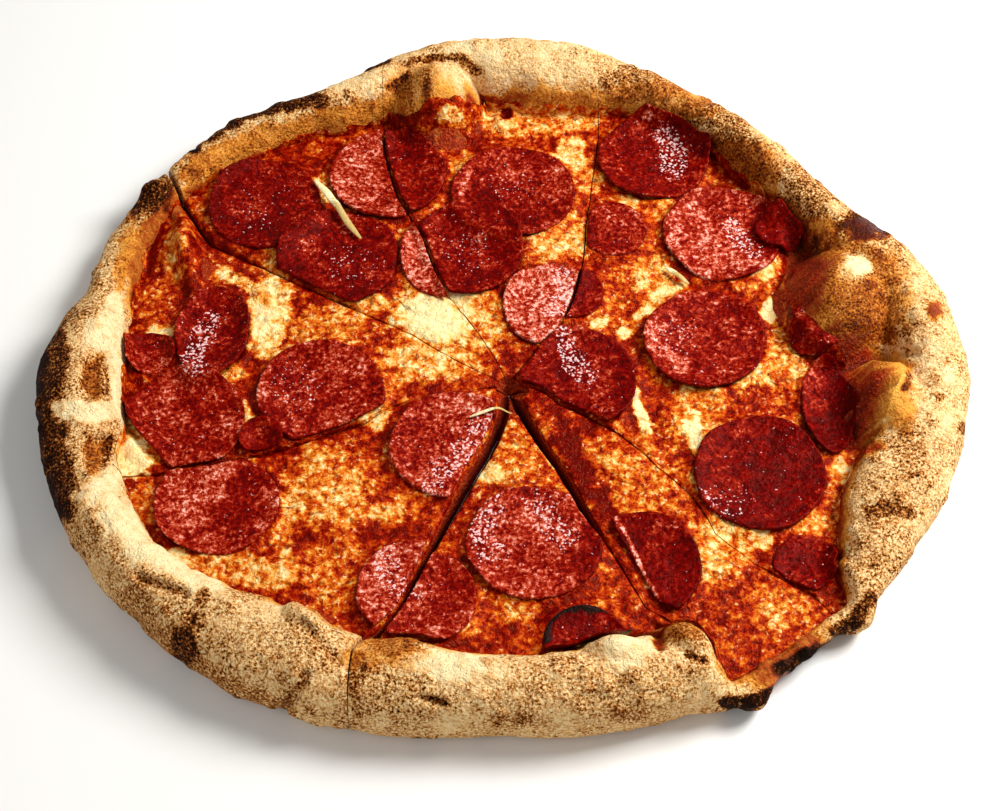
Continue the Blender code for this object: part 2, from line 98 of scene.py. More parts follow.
# Degrees about the cut centre, and millimetres: the outline, the rim's inner foot and its crest.
outline = [
    (0, 157), (12, 156), (19, 153), (25, 147), (30, 143), (36, 142), (46, 144), (55, 147),
    (62, 150), (70, 153), (80, 158), (92, 158), (101, 157), (106, 155), (112, 151), (119, 150),
    (126, 154), (132, 158), (140, 157), (148, 157), (156, 157), (166, 153), (173, 157),
    (180, 161), (190, 159), (200, 157), (210, 154), (220, 150), (232, 147), (242, 143),
    (252, 139), (262, 135), (270, 133), (280, 135), (292, 137), (298, 141), (302, 146),
    (305, 141), (310, 141), (315, 142), (320, 148), (324, 145), (332, 147), (342, 151),
    (350, 154),
]
rimFoot = [
    (3, 133), (10, 129), (18, 123), (24, 122), (29, 123), (33, 124), (40, 125), (48, 127),
    (56, 131), (62, 134), (70, 134), (76, 130), (84, 127), (92, 130), (97, 136), (102, 139),
    (107, 136), (112, 132), (118, 132), (125, 137), (132, 140), (140, 143), (150, 145),
    (158, 143), (164, 138), (171, 134), (180, 131), (189, 130), (195, 134), (202, 133),
    (210, 132), (217, 127), (224, 121), (231, 115), (238, 112), (246, 111), (254, 107),
    (262, 108), (270, 109), (282, 109), (292, 109), (298, 113), (301, 134), (305, 134),
    (311, 135), (317, 136), (321, 138), (325, 128), (330, 123), (336, 118), (344, 119),
    (350, 127), (356, 131),
]
rimCrest = [
    (0, 23), (10, 24), (20, 24), (30, 22), (40, 21), (52, 21), (62, 19), (70, 21), (80, 24),
    (92, 25), (100, 24), (110, 23), (118, 21), (125, 18), (132, 16), (140, 15), (150, 16),
    (158, 14), (166, 17), (176, 22), (186, 24), (195, 21), (205, 23), (218, 24), (230, 24),
    (242, 25), (250, 22), (262, 24), (275, 25), (288, 25), (296, 23), (301, 11), (306, 9.5),
    (312, 9.5), (318, 11), (324, 15), (332, 18), (342, 21), (352, 22),
]

# Domes that stand up out of dough or sauce: x, y, half width, half depth, turn, top.
domes = {
    "bigBubble": (119, 36, 22, 27, 15, 28),
    "backBubble": (-24, 134, 20, 19, 0, 27),
    "rightFold": (131, -8, 14, 23, 4, 27),
    "frontKnob": (57, -104.5, 13, 11, -25, 28),
    "frontSwelling": (35, -108.5, 16, 10.5, 0, 28),
    "leftKnob": (-125, 86, 10, 9, 40, 19),
    "leftFold": (-112, 62, 6, 26, 12, 12),
    "backCrumple": (57, 136, 16, 8, -20, 21),
    "frontLeftSwelling": (-60, -98, 16, 9, -35, 27),
}

# The wheel's cuts, from the centre outwards: x, y, width of the gap.
cuts = {
    "front_left": [
        (1, -8, 4.5), (-9, -32, 5.0), (-17, -50, 3.6), (-24, -66, 2.4), (-32, -85, 1.8),
        (-41, -97, 3.6), (-45, -106, 1.6), (-46, -131, 0.8),
    ],
    "front_right": [
        (8, -8, 4.0), (20, -30, 3.8), (28, -48, 3.2), (37, -65, 1.4), (46, -84, 1.0),
        (58, -92, 1.0), (68, -102, 1.2), (75, -125, 1.0),
    ],
    "right": [
        (7, 4, 1.4), (20, -4, 1.6), (40, -17, 1.4), (52, -30, 1.2), (63, -42, 1.0),
        (70, -57, 1.0), (82, -68, 0.9), (100, -80, 0.9), (112, -97, 1.2),
    ],
    "back": [
        (6, 9, 1.0), (20, 27, 1.2), (28, 50, 1.2), (31, 75, 1.0), (34, 97, 1.0), (37, 120, 0.9),
        (37, 142, 0.9), (36, 162, 0.8),
    ],
    "back_left": [
        (1, 9, 0.9), (-19, 43, 1.2), (-27, 67, 1.4), (-37, 88, 1.2), (-43, 112, 1.0),
        (-44, 130, 0.9), (-43, 160, 0.8),
    ],
    "left_back": [
        (-1, 6, 0.9), (-30, 25, 1.2), (-55, 39, 1.6), (-83, 55, 1.8), (-104, 67, 2.0),
        (-116, 86, 2.4), (-124, 100, 2.2), (-134, 110, 1.6),
    ],
    "left": [
        (-2, 3, 0.9), (-22, 0, 1.0), (-38, -6, 1.4), (-46, -12, 2.0), (-70, -22, 1.6),
        (-95, -30, 2.0), (-112, -33, 1.6), (-132, -35, 1.0), (-158, -40, 0.8),
    ],
}

# Radii at which a share of a slice's width is turned into the angle that a table is read at.
footAt = 125.0
sauceAt = 130.0
crestAt = 140.0
outlineAt = 150.0

# Slices, anticlockwise: the cut each starts at, the cut it ends at, tip radius.
slices = {
    "back": ("back", "back_left", 4.0),
    "back_left": ("back_left", "left_back", 4.0),
    "left": ("left_back", "left", 4.0),
    "front_left": ("left", "front_left", 5.0),
    "front": ("front_left", "front_right", 13.0),
    "front_right": ("front_right", "right", 7.0),
    "right": ("right", "back", 4.0),
}

# Pools of melted cheese: slice, place, half sizes, turn, thickness.
cheese = {
    "cheese_white_pool": ("back_left", -24, 30, 17, 12, -10, 1.7),
    "cheese_left_pool": ("left", -84, 32, 9, 20, 0, 1.8),
    "cheese_left_browned": ("left", -60, 24, 13, 8, -20, 1.4),
    "cheese_front_left": ("front_left", -54, -42, 20, 24, 35, 1.7),
    "cheese_front_edge": ("front_left", -72, -66, 17, 9, -30, 1.5),
    "cheese_front_tip": ("front", 3, -30, 10, 9, 0, 1.5),
    "cheese_right_curds": ("front_right", 42, -30, 12, 7, -40, 1.8),
    "cheese_right_long": ("right", 62, -16, 13, 8, -50, 1.8),
    "cheese_front_right": ("front_right", 67, -66, 9, 7, -40, 1.8),
    "cheese_right_golden": ("right", 99, 8, 7, 13, 10, 1.5),
    "cheese_right_corner": ("right", 89, 51, 10, 6, 25, 1.5),
    "cheese_back_golden": ("back", 15, 63, 12, 9, 0, 1.7),
}

# Salami: slice, disc place, radius, curl of its edge, lifted towards, by, own hub,
# how pink its fat has turned: 0 dark, 1 pink.
salami = {
    "salami_01": ("back_left", -86, 85, 21.0, 1.2, 150, 0.6, None, 0.15),
    "salami_02": ("back_left", -58, 59, 22.0, 1.3, 150, 0.9, None, 0.2),
    "salami_03": ("back_left", -42, 99, 21.5, 1.2, 90, 0.9, (-51, 99), 0.75),
    "salami_04": ("back", -41, 99, 21.0, 1.4, 200, 1.2, (-31, 97), 0.25),
    "salami_05": ("back", 5, 91, 22.5, 1.4, 200, 0.3, None, 0.35),
    "salami_06": ("back", -12, 63, 21.0, 1.8, 0, 1.2, (-8, 64), 0.2),
    "salami_07": ("back_left", -15, 61, 21.5, 0.5, 0, 0.0, (-29, 60), 0.8),
    "salami_08": ("right", 41, 73, 12.5, 0.6, 0, 0.0, None, 0.45),
    "salami_09": ("right", 57, 107, 20.5, 1.8, 60, 3.0, None, 0.3),
    "salami_10": ("right", 80, 70, 21.5, 1.6, 40, 0.6, None, 0.7),
    "salami_11": ("right", 101, 71, 9.0, 0.9, 30, 0.6, None, 0.2),
    "salami_12": ("back", 20, 37, 19.0, 1.0, 30, 0.9, (12, 38), 1.15),
    "salami_13": ("right", 25, 44, 12.0, 0.6, 220, 0.3, (33, 42), 0.2),
    "salami_14": ("right", 25, 5, 22.0, 1.8, 0, 1.2, None, 0.3),
    "salami_15": ("right", 71, 22, 21.5, 1.8, 220, 1.2, None, 0.4),
    "salami_16": ("right", 109.5, 23, 9.6, 0.8, 20, 0.3, None, 0.45),
    "salami_17": ("left", -100, 25, 20.0, 2.4, 0, 0.6, None, 0.3),
    "salami_18": ("left", -121, 16, 9.0, 0.6, 180, 0.6, None, 0.5),
    "salami_19": ("left", -61, -1, 22.0, 1.4, 180, 0.6, (-62, 2), 0.5),
    "salami_20": ("left", -106, -12, 20.5, 1.0, 270, 0.6, None, 0.5),
    "salami_21": ("front_left", -93, -46, 20.5, 1.2, 180, 0.3, (-93, -48), 0.7),
    "salami_22": ("left", -80, -20, 7.5, 0.8, 270, 0.6, (-80, -21), 0.15),
    "salami_23": ("front_left", -16, -22, 21.5, 1.3, 200, 0.3, (-19, -20), 0.8),
    "salami_24": ("front_left", -27, -79, 19.0, 1.0, 200, 0.6, (-36, -78), 0.85),
    "salami_25": ("front", -24, -82, 17.0, 1.0, 20, 0.3, (-18, -83), 0.55),
    "salami_26": ("front", 11, -61, 22.0, 1.3, 90, 0.6, None, 0.7),
    "salami_27": ("front_right", 45, -70, 20.0, 1.3, 60, 1.2, (52, -70), 0.15),
    "salami_28": ("right", 86, -34, 22.5, 1.6, 60, 0.6, None, 0.05),
    "salami_29": ("front", 27, -98, 13.5, 1.2, 270, 2.4, (27, -95), 0.1),
    "salami_30": ("right", 98, -69, 10.5, 0.7, 320, 0.6, None, 0.1),
    "salami_31": ("right", 111, -7, 19.0, 1.0, 0, 5.0, None, 0.0),
}

herbs = {
    "herb_long": {"route": [(-68, 95), (-63, 88), (-59, 81), (-55, 74), (-50, 67)], "half": 1.5},
    "herb_twig": {"route": [(-10.2, -11.6), (-5.4, -10.4), (-0.8, -8.8), (4.2, -7.2)], "half": 0.6},
    "herb_short": {"route": [(59, 55), (63, 51), (67, 47)], "half": 1.1},
}


# Noise and small helpers. All of them work on arrays.

rng = np.random.default_rng(7)
permutation = np.concatenate([rng.permutation(256)] * 3)
gradients = rng.normal(size=(256, 3))
gradients /= np.linalg.norm(gradients, axis=1)[:, None]


def smooth(low, high, value):
    t = np.clip((value - low) / (high - low), 0, 1)
    return t * t * (3 - 2 * t)


def mix(a, b, share):
    return a + (b - a) * share


# Gradient noise from about -1 to 1, with lumps of this size.
def lumps(x, y, z, size, seed):
    p = np.stack([x / size, y / size, z / size + seed * 17.3], axis=-1)
    cell = np.floor(p).astype(int)
    f = p - cell
    u = f * f * f * (f * (f * 6 - 15) + 10)
    cell &= 255
    total = 0.0
    for dx in (0, 1):
        wx = u[..., 0] if dx else 1 - u[..., 0]
        hx = permutation[cell[..., 0] + dx]
        for dy in (0, 1):
            wy = u[..., 1] if dy else 1 - u[..., 1]
            hy = permutation[hx + cell[..., 1] + dy]
            for dz in (0, 1):
                wz = u[..., 2] if dz else 1 - u[..., 2]
                g = gradients[permutation[hy + cell[..., 2] + dz]]
                dot = g[..., 0] * (f[..., 0] - dx) + g[..., 1] * (f[..., 1] - dy)
                dot += g[..., 2] * (f[..., 2] - dz)
                total = total + wx * wy * wz * dot
    return total * 1.6


def polar(x, y):
    dx = x - cutCentre[0]
    dy = y - cutCentre[1]
    return np.hypot(dx, dy), np.degrees(np.arctan2(dy, dx)) % 360


def place(radius, angle):
    turn = np.radians(angle)
    return cutCentre[0] + radius * np.cos(turn), cutCentre[1] + radius * np.sin(turn)


# Angles evenly round a circle, as many as this in whole numbers.
def around360(count):
    return np.arange(int(count)) * math.tau / int(count)


# How far points lie along and across a form turned by so many degrees about its middle.
def turned(x, y, cx, cy, turn):
    c, s = math.cos(math.radians(turn)), math.sin(math.radians(turn))
    return (x - cx) * c + (y - cy) * s, (y - cy) * c - (x - cx) * s


# Several sizes of lumps together, as (size, height), with seeds from this one on.
def layered(x, y, z, layers, seed):
    return sum(height * lumps(x, y, z, size, seed + k) for k, (size, height) in enumerate(layers))


# The same over the plan, with a seed given for each size.
def plainLumps(x, y, layers, seeds):
    z = np.zeros_like(x)
    return sum(height * lumps(x, y, z, size, seed) for (size, height), seed in zip(layers, seeds))


# A table's values at these angles, eased between its points and closed at 360.
def around(table, angle):
    points = [(table[-1][0] - 360, table[-1][1])] + table + [(table[0][0] + 360, table[0][1])]
    angles = np.array([a for a, _ in points], float)
    values = np.array([v for _, v in points], float)
    angle = np.asarray(angle, float) % 360
    k = np.clip(np.searchsorted(angles, angle, side="right") - 1, 0, len(points) - 2)
    t = (angle - angles[k]) / (angles[k + 1] - angles[k])
    return mix(values[k], values[k + 1], t * t * (3 - 2 * t))


# Narrow cuts have closed up again, so they show as creases.
def cutLine(name):
    line = []
    for x, y, width in cuts[name]:
        width *= min(max((width - 0.6) / 1.8, 0.12), 1.0)
        radius, angle = polar(x, y)
        if line:
            angle += 360 * round((line[-1][1] - angle) / 360)
        line.append((radius, angle, width))
    return np.array(line).T


cutLines = {name: cutLine(name) for name in cuts}


# First and last angle of a slice at these radii, inside its two cut faces.
def sliceSpan(sliceName, radius, inset=0.0, openness=1.0):
    firstCut, lastCut, _ = slices[sliceName]
    r0, a0, w0 = cutLines[firstCut]
    r1, a1, w1 = cutLines[lastCut]
    first, firstWidth = np.interp(radius, r0, a0), np.interp(radius, r0, w0)
    last, lastWidth = np.interp(radius, r1, a1), np.interp(radius, r1, w1)
    last = last + 360 * np.ceil((first - last) / 360)
    first = first + np.degrees((openness * firstWidth / 2 + inset) / radius)
    last = last - np.degrees((openness * lastWidth / 2 + inset) / radius)
    return first, last


# How open the nearer cut is: 0 closed up, 1 a clear gap.
def openCut(sliceName, radius, share):
    firstWidth, lastWidth = (
        np.interp(radius, cutLines[cut][0], cutLines[cut][2]) for cut in slices[sliceName][:2]
    )
    return smooth(0.1, 1.2, np.where(share < 0.5, firstWidth, lastWidth))


def angleAt(sliceName, radius, share, inset=0.0, openness=1.0):
    first, last = sliceSpan(sliceName, radius, inset, openness)
    return first + (last - first) * share


def insideSlice(sliceName, x, y, inset):
    radius, angle = polar(x, y)
    radius = np.maximum(radius, 0.1)
    first, last = sliceSpan(sliceName, radius, inset)
    angle = angle + 360 * np.ceil((first - angle) / 360)
    return (angle < last) & (radius > slices[sliceName][2] + inset)


# Height maps over the plan: a value for each step of mapPitch.

mapPitch = 1.0
mapCorner = (-168.0, -148.0)
mapShape = (328, 336)  # rows, columns


def readMap(field, x, y, pitch=mapPitch):
    u = np.clip((x - mapCorner[0]) / pitch, 0, field.shape[1] - 1.001)
    v = np.clip((y - mapCorner[1]) / pitch, 0, field.shape[0] - 1.001)
    i, j = u.astype(int), v.astype(int)
    fu, fv = u - i, v - j
    low = mix(field[j, i], field[j, i + 1], fu)
    high = mix(field[j + 1, i], field[j + 1, i + 1], fu)
    return mix(low, high, fv)


def mapCells(x, y):
    i = np.clip(np.rint((x - mapCorner[0]) / mapPitch).astype(int), 0, mapShape[1] - 1)
    j = np.clip(np.rint((y - mapCorner[1]) / mapPitch).astype(int), 0, mapShape[0] - 1)
    return j.ravel(), i.ravel()


def shifted(field, rows, columns):
    return np.roll(np.roll(field, rows, axis=0), columns, axis=1)


# Each cell takes the highest of its neighbours.
def spread(field):
    best = field
    for rows in (-1, 0, 1):
        for columns in (-1, 0, 1):
            best = np.maximum(best, shifted(field, rows, columns))
    return best


def blurred(field, times):
    for _ in range(times):
        field = (field + shifted(field, 1, 0) + shifted(field, -1, 0)) / 3
        field = (field + shifted(field, 0, 1) + shifted(field, 0, -1)) / 3
    return field


rippleMaps = {}


# The solids' own smooth noise. It is slow, so it is read from a coarse map.
def ripple(x, y, size, seed):
    pitch = 2.0
    if (size, seed) not in rippleMaps:
        rows, columns = mapShape[0] // 2 + 2, mapShape[1] // 2 + 2
        rippleMaps[size, seed] = np.array([
            [
                noise.noise(Vector((
                    (mapCorner[0] + i * pitch) / size, (mapCorner[1] + j * pitch) / size, seed * 7.31
                )))
                for i in range(columns)
            ]
            for j in range(rows)
        ])
    return readMap(rippleMaps[size, seed], x, y, pitch)


domeRoundness = 0.7  # lower is boxier
domeBlend = 3.0  # how softly a dome rises from what carries it


def domesAt(x, y):
    top = np.zeros_like(x)
    for cx, cy, halfWidth, halfDepth, turn, height in domes.values():
        along, across = turned(x, y, cx, cy, turn)
        inside = 1 - (along / halfWidth)**2 - (across / halfDepth)**2
        top = np.maximum(top, height * np.clip(inside, 0, 1)**domeRoundness)
    return top


def raised(height, x, y):
    dome = domesAt(x, y)
    share = np.maximum(domeBlend - np.abs(height - dome), 0) / domeBlend
    return np.maximum(height, dome) + share * share * domeBlend / 4


# Places and heights of a slice's skin: steps run 0 to 1 to the rim's foot, to 2 over the rim
# to its widest line, and to 3 down to the table. The last value is the distance to a cut.
def sliceSurface(sliceName, shares, steps, inset=0.0):
    share, step = np.meshgrid(shares, steps)
    tip = slices[sliceName][2]
    foot = around(rimFoot, angleAt(sliceName, footAt, share))
    outer = around(outline, angleAt(sliceName, outlineAt, share))
    s = np.clip(step - 1, 0, 1)
    tuck = np.clip(step - 2, 0, 1)
    radius = foot + (outer - foot) * (1 - np.cos(np.pi * s)) / 2
    radius = np.where(step <= 1, tip + (foot - tip) * step, radius - dough["rimTuck"] * tuck**2)
    x, y = place(radius, angleAt(sliceName, radius, share, inset))
    flat = dough["floor"] + dough["floorWave"][1] * ripple(x, y, dough["floorWave"][0], 1)
    crest = around(rimCrest, angleAt(sliceName, crestAt, share))
    low = np.where(s < 0.5, dough["floor"], dough["rimWidest"])
    power = np.where(s < 0.5, *dough["rimRoundness"])
    fade = np.minimum(1, (1 - s) * dough["rimFade"])
    grow = np.minimum(1, s * dough["rimGrow"])
    rim = low + (crest - low) * np.sin(np.pi * s) ** power
    for seed, (size, swing) in enumerate(dough["rimWaves"]):
        rim += grow * fade * swing * ripple(x, y, size, 2 + seed)
    rim += (1 - grow) * (flat - dough["floor"])
    rim += (raised(rim, x, y) - rim) * np.minimum(1, fade * dough["domeFade"])
    height = np.where(step <= 1, raised(flat, x, y), rim)
    height = np.where(step > 2, dough["rimWidest"] * (1 - tuck), height)
    first, last = sliceSpan(sliceName, radius, inset)
    besideCut = np.minimum(share, 1 - share) * np.radians(last - first) * radius
    return x, y, height, besideCut


# Marks: soft uneven spots and strokes, read as the camera sees them. Each has its level, its
# strength, and then a spot's middle, half sizes and turn, or a stroke's points and width.

# Where a point shows in the plan view at markHeight.
def seenPlace(x, y, z):
    back = math.radians(camera["elevation"])
    eyeY = camera["aim"][1] - camera["distance"] * math.cos(back)
    eyeZ = camera["distance"] * math.sin(back)
    k = (eyeZ - markHeight) / (eyeZ - z)
    return x * k, eyeY + (y - eyeY) * k


def spotAmount(x, y, wobble, cx, cy, halfWidth, halfDepth, turn=0):
    along, across = turned(x, y, cx, cy, turn)
    uneven = 4.0 / max(4.0, min(halfWidth, halfDepth))  # small spots have the roughest outlines
    out = np.hypot(along / halfWidth, across / halfDepth)
    return 1 - smooth(0.7, 1.25, out + wobble * (0.15 + 0.35 * uneven))


def strokeAmount(x, y, wobble, points, width):
    nearest = np.full(x.shape, 1e9)
    for (x0, y0), (x1, y1) in zip(points, points[1:]):
        dx, dy = x1 - x0, y1 - y0
        t = np.clip(((x - x0) * dx + (y - y0) * dy) / (dx * dx + dy * dy), 0, 1)
        nearest = np.minimum(nearest, np.hypot(x - x0 - t * dx, y - y0 - t * dy))
    return 1 - smooth(0.6, 1.3, nearest / width + wobble * 0.45)


# Moves the value towards each mark's level where the mark lies.
def applyMarks(value, marks, x, y, wobble):
    for level, strength, *where in marks.values():
        amountOf = strokeAmount if isinstance(where[0], list) else spotAmount
        value = mix(value, level, strength * amountOf(x, y, wobble, *where))
    return value


# Meshes from arrays.

# An object from plan millimetres, arrays of polygon corners, and a value for each point.
def meshPiece(name, points, polygons, attributes, material, sharp=60):
    points = (points - np.array([planOrigin[0], planOrigin[1], 0.0])) * mm
    mesh = bpy.data.meshes.new(name)
    corners = np.concatenate([np.asarray(p, int).ravel() for p in polygons])
    sizes = np.concatenate([np.full(len(p), np.asarray(p).shape[1]) for p in polygons])
    mesh.vertices.add(len(points))
    mesh.vertices.foreach_set("co", points.astype(np.float32).ravel())
    mesh.loops.add(len(corners))
    mesh.loops.foreach_set("vertex_index", corners.astype(np.int32))
    mesh.polygons.add(len(sizes))
    mesh.polygons.foreach_set("loop_start", (np.cumsum(sizes) - sizes).astype(np.int32))
    mesh.update(calc_edges=True)
    mesh.validate()
    for key, values in attributes.items():
        layer = mesh.attributes.new(key, "FLOAT", "POINT")
        layer.data.foreach_set("value", values.astype(np.float32).ravel())
    joined = bmesh.new()
    joined.from_mesh(mesh)
    bmesh.ops.remove_doubles(joined, verts=joined.verts, dist=1e-6)
    bmesh.ops.recalc_face_normals(joined, faces=joined.faces)
    joined.to_mesh(mesh)
    joined.free()
    mesh.shade_smooth()
    mesh.set_sharp_from_angle(angle=math.radians(sharp))
    mesh.materials.append(material)
    obj = bpy.data.objects.new(name, mesh)
    bpy.context.scene.collection.objects.link(obj)
    return obj


def gridFaces(rows, columns, start=0, flip=False):
    index = start + np.arange(rows * columns).reshape(rows, columns)
    a, b = index[:-1, :-1].ravel(), index[:-1, 1:].ravel()
    c, d = index[1:, 1:].ravel(), index[1:, :-1].ravel()
    return np.stack((a, d, c, b) if flip else (a, b, c, d), axis=1)


# Unit normals of a grid of points, on the side that is up or out.
def outward(x, y, z):
    p = np.stack([x, y, z], axis=-1)
    n = np.cross(np.gradient(p, axis=1), np.gradient(p, axis=0))
    n /= np.maximum(np.linalg.norm(n, axis=-1, keepdims=True), 1e-9)
    middle = n[n.shape[0] // 3]
    return n if middle[:, 2].mean() > 0 else -n


# The crust. Levels of bake: 0 cream, 0.25 beige, 0.45 golden, 0.65 brown, 0.85 dark, 1 char.

crustMarks = {
    "backFlour": (0.14, 0.9, 12, 155, 26, 14),
    "backCream": (0.05, 0.8, -10, 160, 12, 12),
    "backOrangeLow": (0.36, 0.85, 12, 130, 28, 9),
    "backRightEdge": (0.08, 0.9, [(23, 167), (43, 162), (60, 152), (76, 140)], 3.0),
    "backRightGolden": (0.47, 0.9, 55, 145, 18, 10),
    "backRightGoldenLow": (0.5, 0.9, 76, 129, 13, 8),
    "backRightChar": (1.0, 1.0, [(76, 140), (82, 137), (89, 133)], 1.6),
    "backRightGrey": (0.48, 0.9, 91, 123, 6, 8),
    "backRightOlive": (0.56, 0.95, 89, 105, 15, 15),
    "backRightPeach": (0.18, 0.9, [(96, 120), (101, 113), (106, 107)], 3.4),
    "backRightStipple": (0.46, 0.9, 114, 94, 12, 11),
    "backRightOrange": (0.54, 0.9, 107, 82, 11, 8),
    "bubbleGolden": (0.42, 0.9, 125, 45, 20.5, 28),
    "bubblePeach": (0.2, 0.9, 148, 38, 6, 20),
    "bubbleOlive": (0.52, 0.85, 129, 33, 9, 11),
    "bubbleCream": (0.02, 1.0, 127, 54, 5, 4.5),
    # Painted shade over real browning: the big bubble's left flank darker.
    "bubbleFlankBrownAndShade": (0.72, 0.9, 110, 53, 8, 18),
    "bubbleCrown": (0.86, 0.9, 131, 73, 9, 7),
    "bubbleFleckA": (0.6, 0.9, 135, 59, 3, 3),
    "bubbleFleckC": (0.62, 0.9, 129, 46, 5, 3),
    "bubbleFleckD": (0.55, 0.9, 139, 47, 4, 2),
    "bubbleDash": (0.54, 0.9, [(135, 23), (141, 25), (146, 27)], 2.0),
    "bubbleRed": (0.5, 0.9, 152, 34, 3, 4),
    "foldPale": (0.05, 0.9, [(120, 16), (124, 17), (129, 18), (135, 18), (138, 16), (141, 14)], 0.8),
    "foldBrown": (0.14, 0.9, 133, -6, 7, 18),
    "foldTop": (0.1, 0.9, 135, 7, 6, 8),
    "foldEdge": (0.8, 0.9, [(140, 16), (142, 11), (140, 5), (138, 0)], 1.6),
    "rightSmooth": (0.15, 0.97, 148, 1, 9, 24),
    "rightSpotA": (0.5, 0.9, 149, -4, 2, 2.4),
    "rightSpotB": (0.66, 0.9, 155, -17, 2.4, 3),
    "rightStipple": (0.42, 0.9, 136, -24, 6, 12),
    "rightLowStipple": (0.33, 0.8, 123, -66, 13, 15),
    "rightSmear": (0.68, 0.9, [(120, -50), (126, -49), (132, -50)], 3.0),
    # Painted shade over the crust's real dark bake: these three marks darken the rim's outer left side.
    "leftOuter": (1.15, 1.0, [(-161, 34), (-160, 12), (-157, -9), (-152, -30), (-145, -49)], 7.5),
    "leftShade": (0.8, 0.9, [(-153, 20), (-152, -5), (-148, -26), (-141, -46)], 4.5),
    "leftUpperOuterShade": (0.45, 0.7, [(-145, 73), (-149, 52), (-153, 34)], 4.0),
    "leftStipple": (0.3, 0.8, -140, 52, 6, 12),
    "leftCreamTop": (0.02, 0.95, -138, 25, 6, 9),
    "leftCreamInner": (0.0, 0.95, [(-136, 39), (-133, 23), (-131, 8), (-130, -5)], 3.0),
    "hollowHigh": (0.56, 1.0, -139, 5, 4, 9, 10),
    # Painted shade: a dark line along the inner edge of this dent.
    "hollowHighShadedEdge": (0.85, 0.8, [(-135, 9), (-133, 4), (-133, -2)], 0.7),
    "leftCreamBand": (0.0, 0.95, [(-147, -9), (-138, -10), (-128, -10)], 4.5),
    "hollowLow": (0.54, 1.0, -134, -27, 4.5, 8),
    # Painted shade: a dark line along the inner edge of this dent.
    "hollowLowShadedEdge": (0.8, 0.8, [(-130, -20), (-129, -27), (-131, -34)], 0.7),
    "leftCream": (
        0.02, 1.0,
        [(-130, -38), (-131, -46), (-123, -55), (-113, -64), (-102, -69), (-92, -75)], 7.0,
    ),
    "leftLowStipple": (0.4, 0.8, -135, -60, 6, 13),
    "backBubbleSide": (0.54, 0.9, -37, 141, 6, 13),
    "backBubbleInner": (0.1, 0.9, -18, 147, 11, 7),
    "backBubbleArc": (
        0.68, 0.9, [(-41, 143), (-38, 151), (-34, 157), (-26, 159), (-16, 159), (-8, 151)], 2.4,
    ),
    "backBubbleDots": (0.84, 0.9, [(-29, 146), (-27, 140), (-25, 134)], 2.6),
    "backLeftGolden": (
        0.3, 0.95, [(-113, 99), (-106, 107), (-92, 117), (-75, 123), (-59, 129), (-42, 133)], 7.0,
    ),
    "backLeftCream": (0.1, 0.9, [(-69, 141), (-59, 145), (-48, 148), (-39, 152)], 3.6),
    "backLeftBurnt": (
        0.88, 0.95, [(-110, 118), (-100, 127), (-89, 133), (-76, 136), (-69, 137)], 4.4,
    ),
    "backLeftChar": (1.0, 1.0, [(-114, 111), (-110, 121), (-103, 127), (-95, 134)], 2.4),
    "backLeftFlecks": (1.0, 0.9, [(-58, 149), (-51, 153), (-43, 157)], 1.0),
    "backLeftLow": (0.4, 0.8, -110, 100, 9, 8),
    "knobChar": (0.9, 0.9, -128, 88, 8, 11),
    "frontCream": (0.0, 0.95, -13, -106, 13, 6),
    "frontOrange": (0.47, 0.9, -32, -99, 8, 5),
    "frontCreamRight": (0.0, 0.95, 40, -101, 8, 8),
    "frontLeftBeige": (0.3, 0.7, -72, -101, 22, 12),
    "frontLeftCream": (0.12, 0.85, -71, -87, 9, 4),
    "frontLeftRed": (0.7, 0.9, -94, -82, 2.4, 3),
    # Painted shade over some real browning: darker low on the outer front-left wall.
    "frontLeftLow": (0.55, 0.7, [(-117, -83), (-102, -103), (-83, -117), (-67, -124)], 5.0),
    "frontLeftDark": (0.85, 0.9, -98, -99, 4, 9),
    "frontSlit": (0.8, 0.85, [(-23, -118), (-17, -120)], 1.2),
    "frontCutOrange": (0.52, 0.85, -44, -107, 3, 6),
    # Painted shade over some real browning: these two darken the low outer front wall.
    "frontLowBrownAndShade": (0.5, 0.7, 5, -126, 8, 3),
    "frontLowBrownAndShadeRight": (0.48, 0.7, 39, -123, 8, 3),
    "frontKnob": (0.5, 0.9, 58, -92, 9, 7),
    "frontKnobDark": (0.84, 0.9, [(59, -103), (63, -105)], 1.6),
    "frontRightChar": (0.97, 1.0, [(70, -120), (76, -120), (83, -117)], 2.8),
    "frontRightCharUpper": (0.95, 1.0, [(86, -108), (93, -105), (100, -101)], 2.6),
    "frontRightCharMiddle": (0.95, 1.0, [(92, -106), (98, -104), (104, -100)], 2.4),
    "frontRightCharEdge": (0.88, 0.9, [(106, -95), (112, -90), (117, -83)], 2.6),
    "creaseLeft": (0.6, 0.7, [(-67, -124), (-60, -110)], 1.5),
    "creaseCut": (0.6, 0.7, [(-46, -111), (-43, -124)], 1.5),
    "creaseUpper": (0.5, 0.7, [(-62, -91), (-50, -106)], 1.3),
    "creaseOuter": (0.6, 0.7, [(-115, -75), (-100, -81)], 1.5),
    # Painted shade over a real sauce stain: the right fold's left flank darker.
    "foldFlankBakeAndShade": (0.7, 0.95, 118.5, 0, 10, 26),
    "bubbleLow": (0.6, 0.95, 128, 24, 11, 6),
    "frontLowRust": (0.6, 0.8, [(16, -105), (22, -105)], 1.2),
    "knobCrease": (0.7, 0.9, [(49, -89), (49, -94), (50, -100)], 1.4),
}

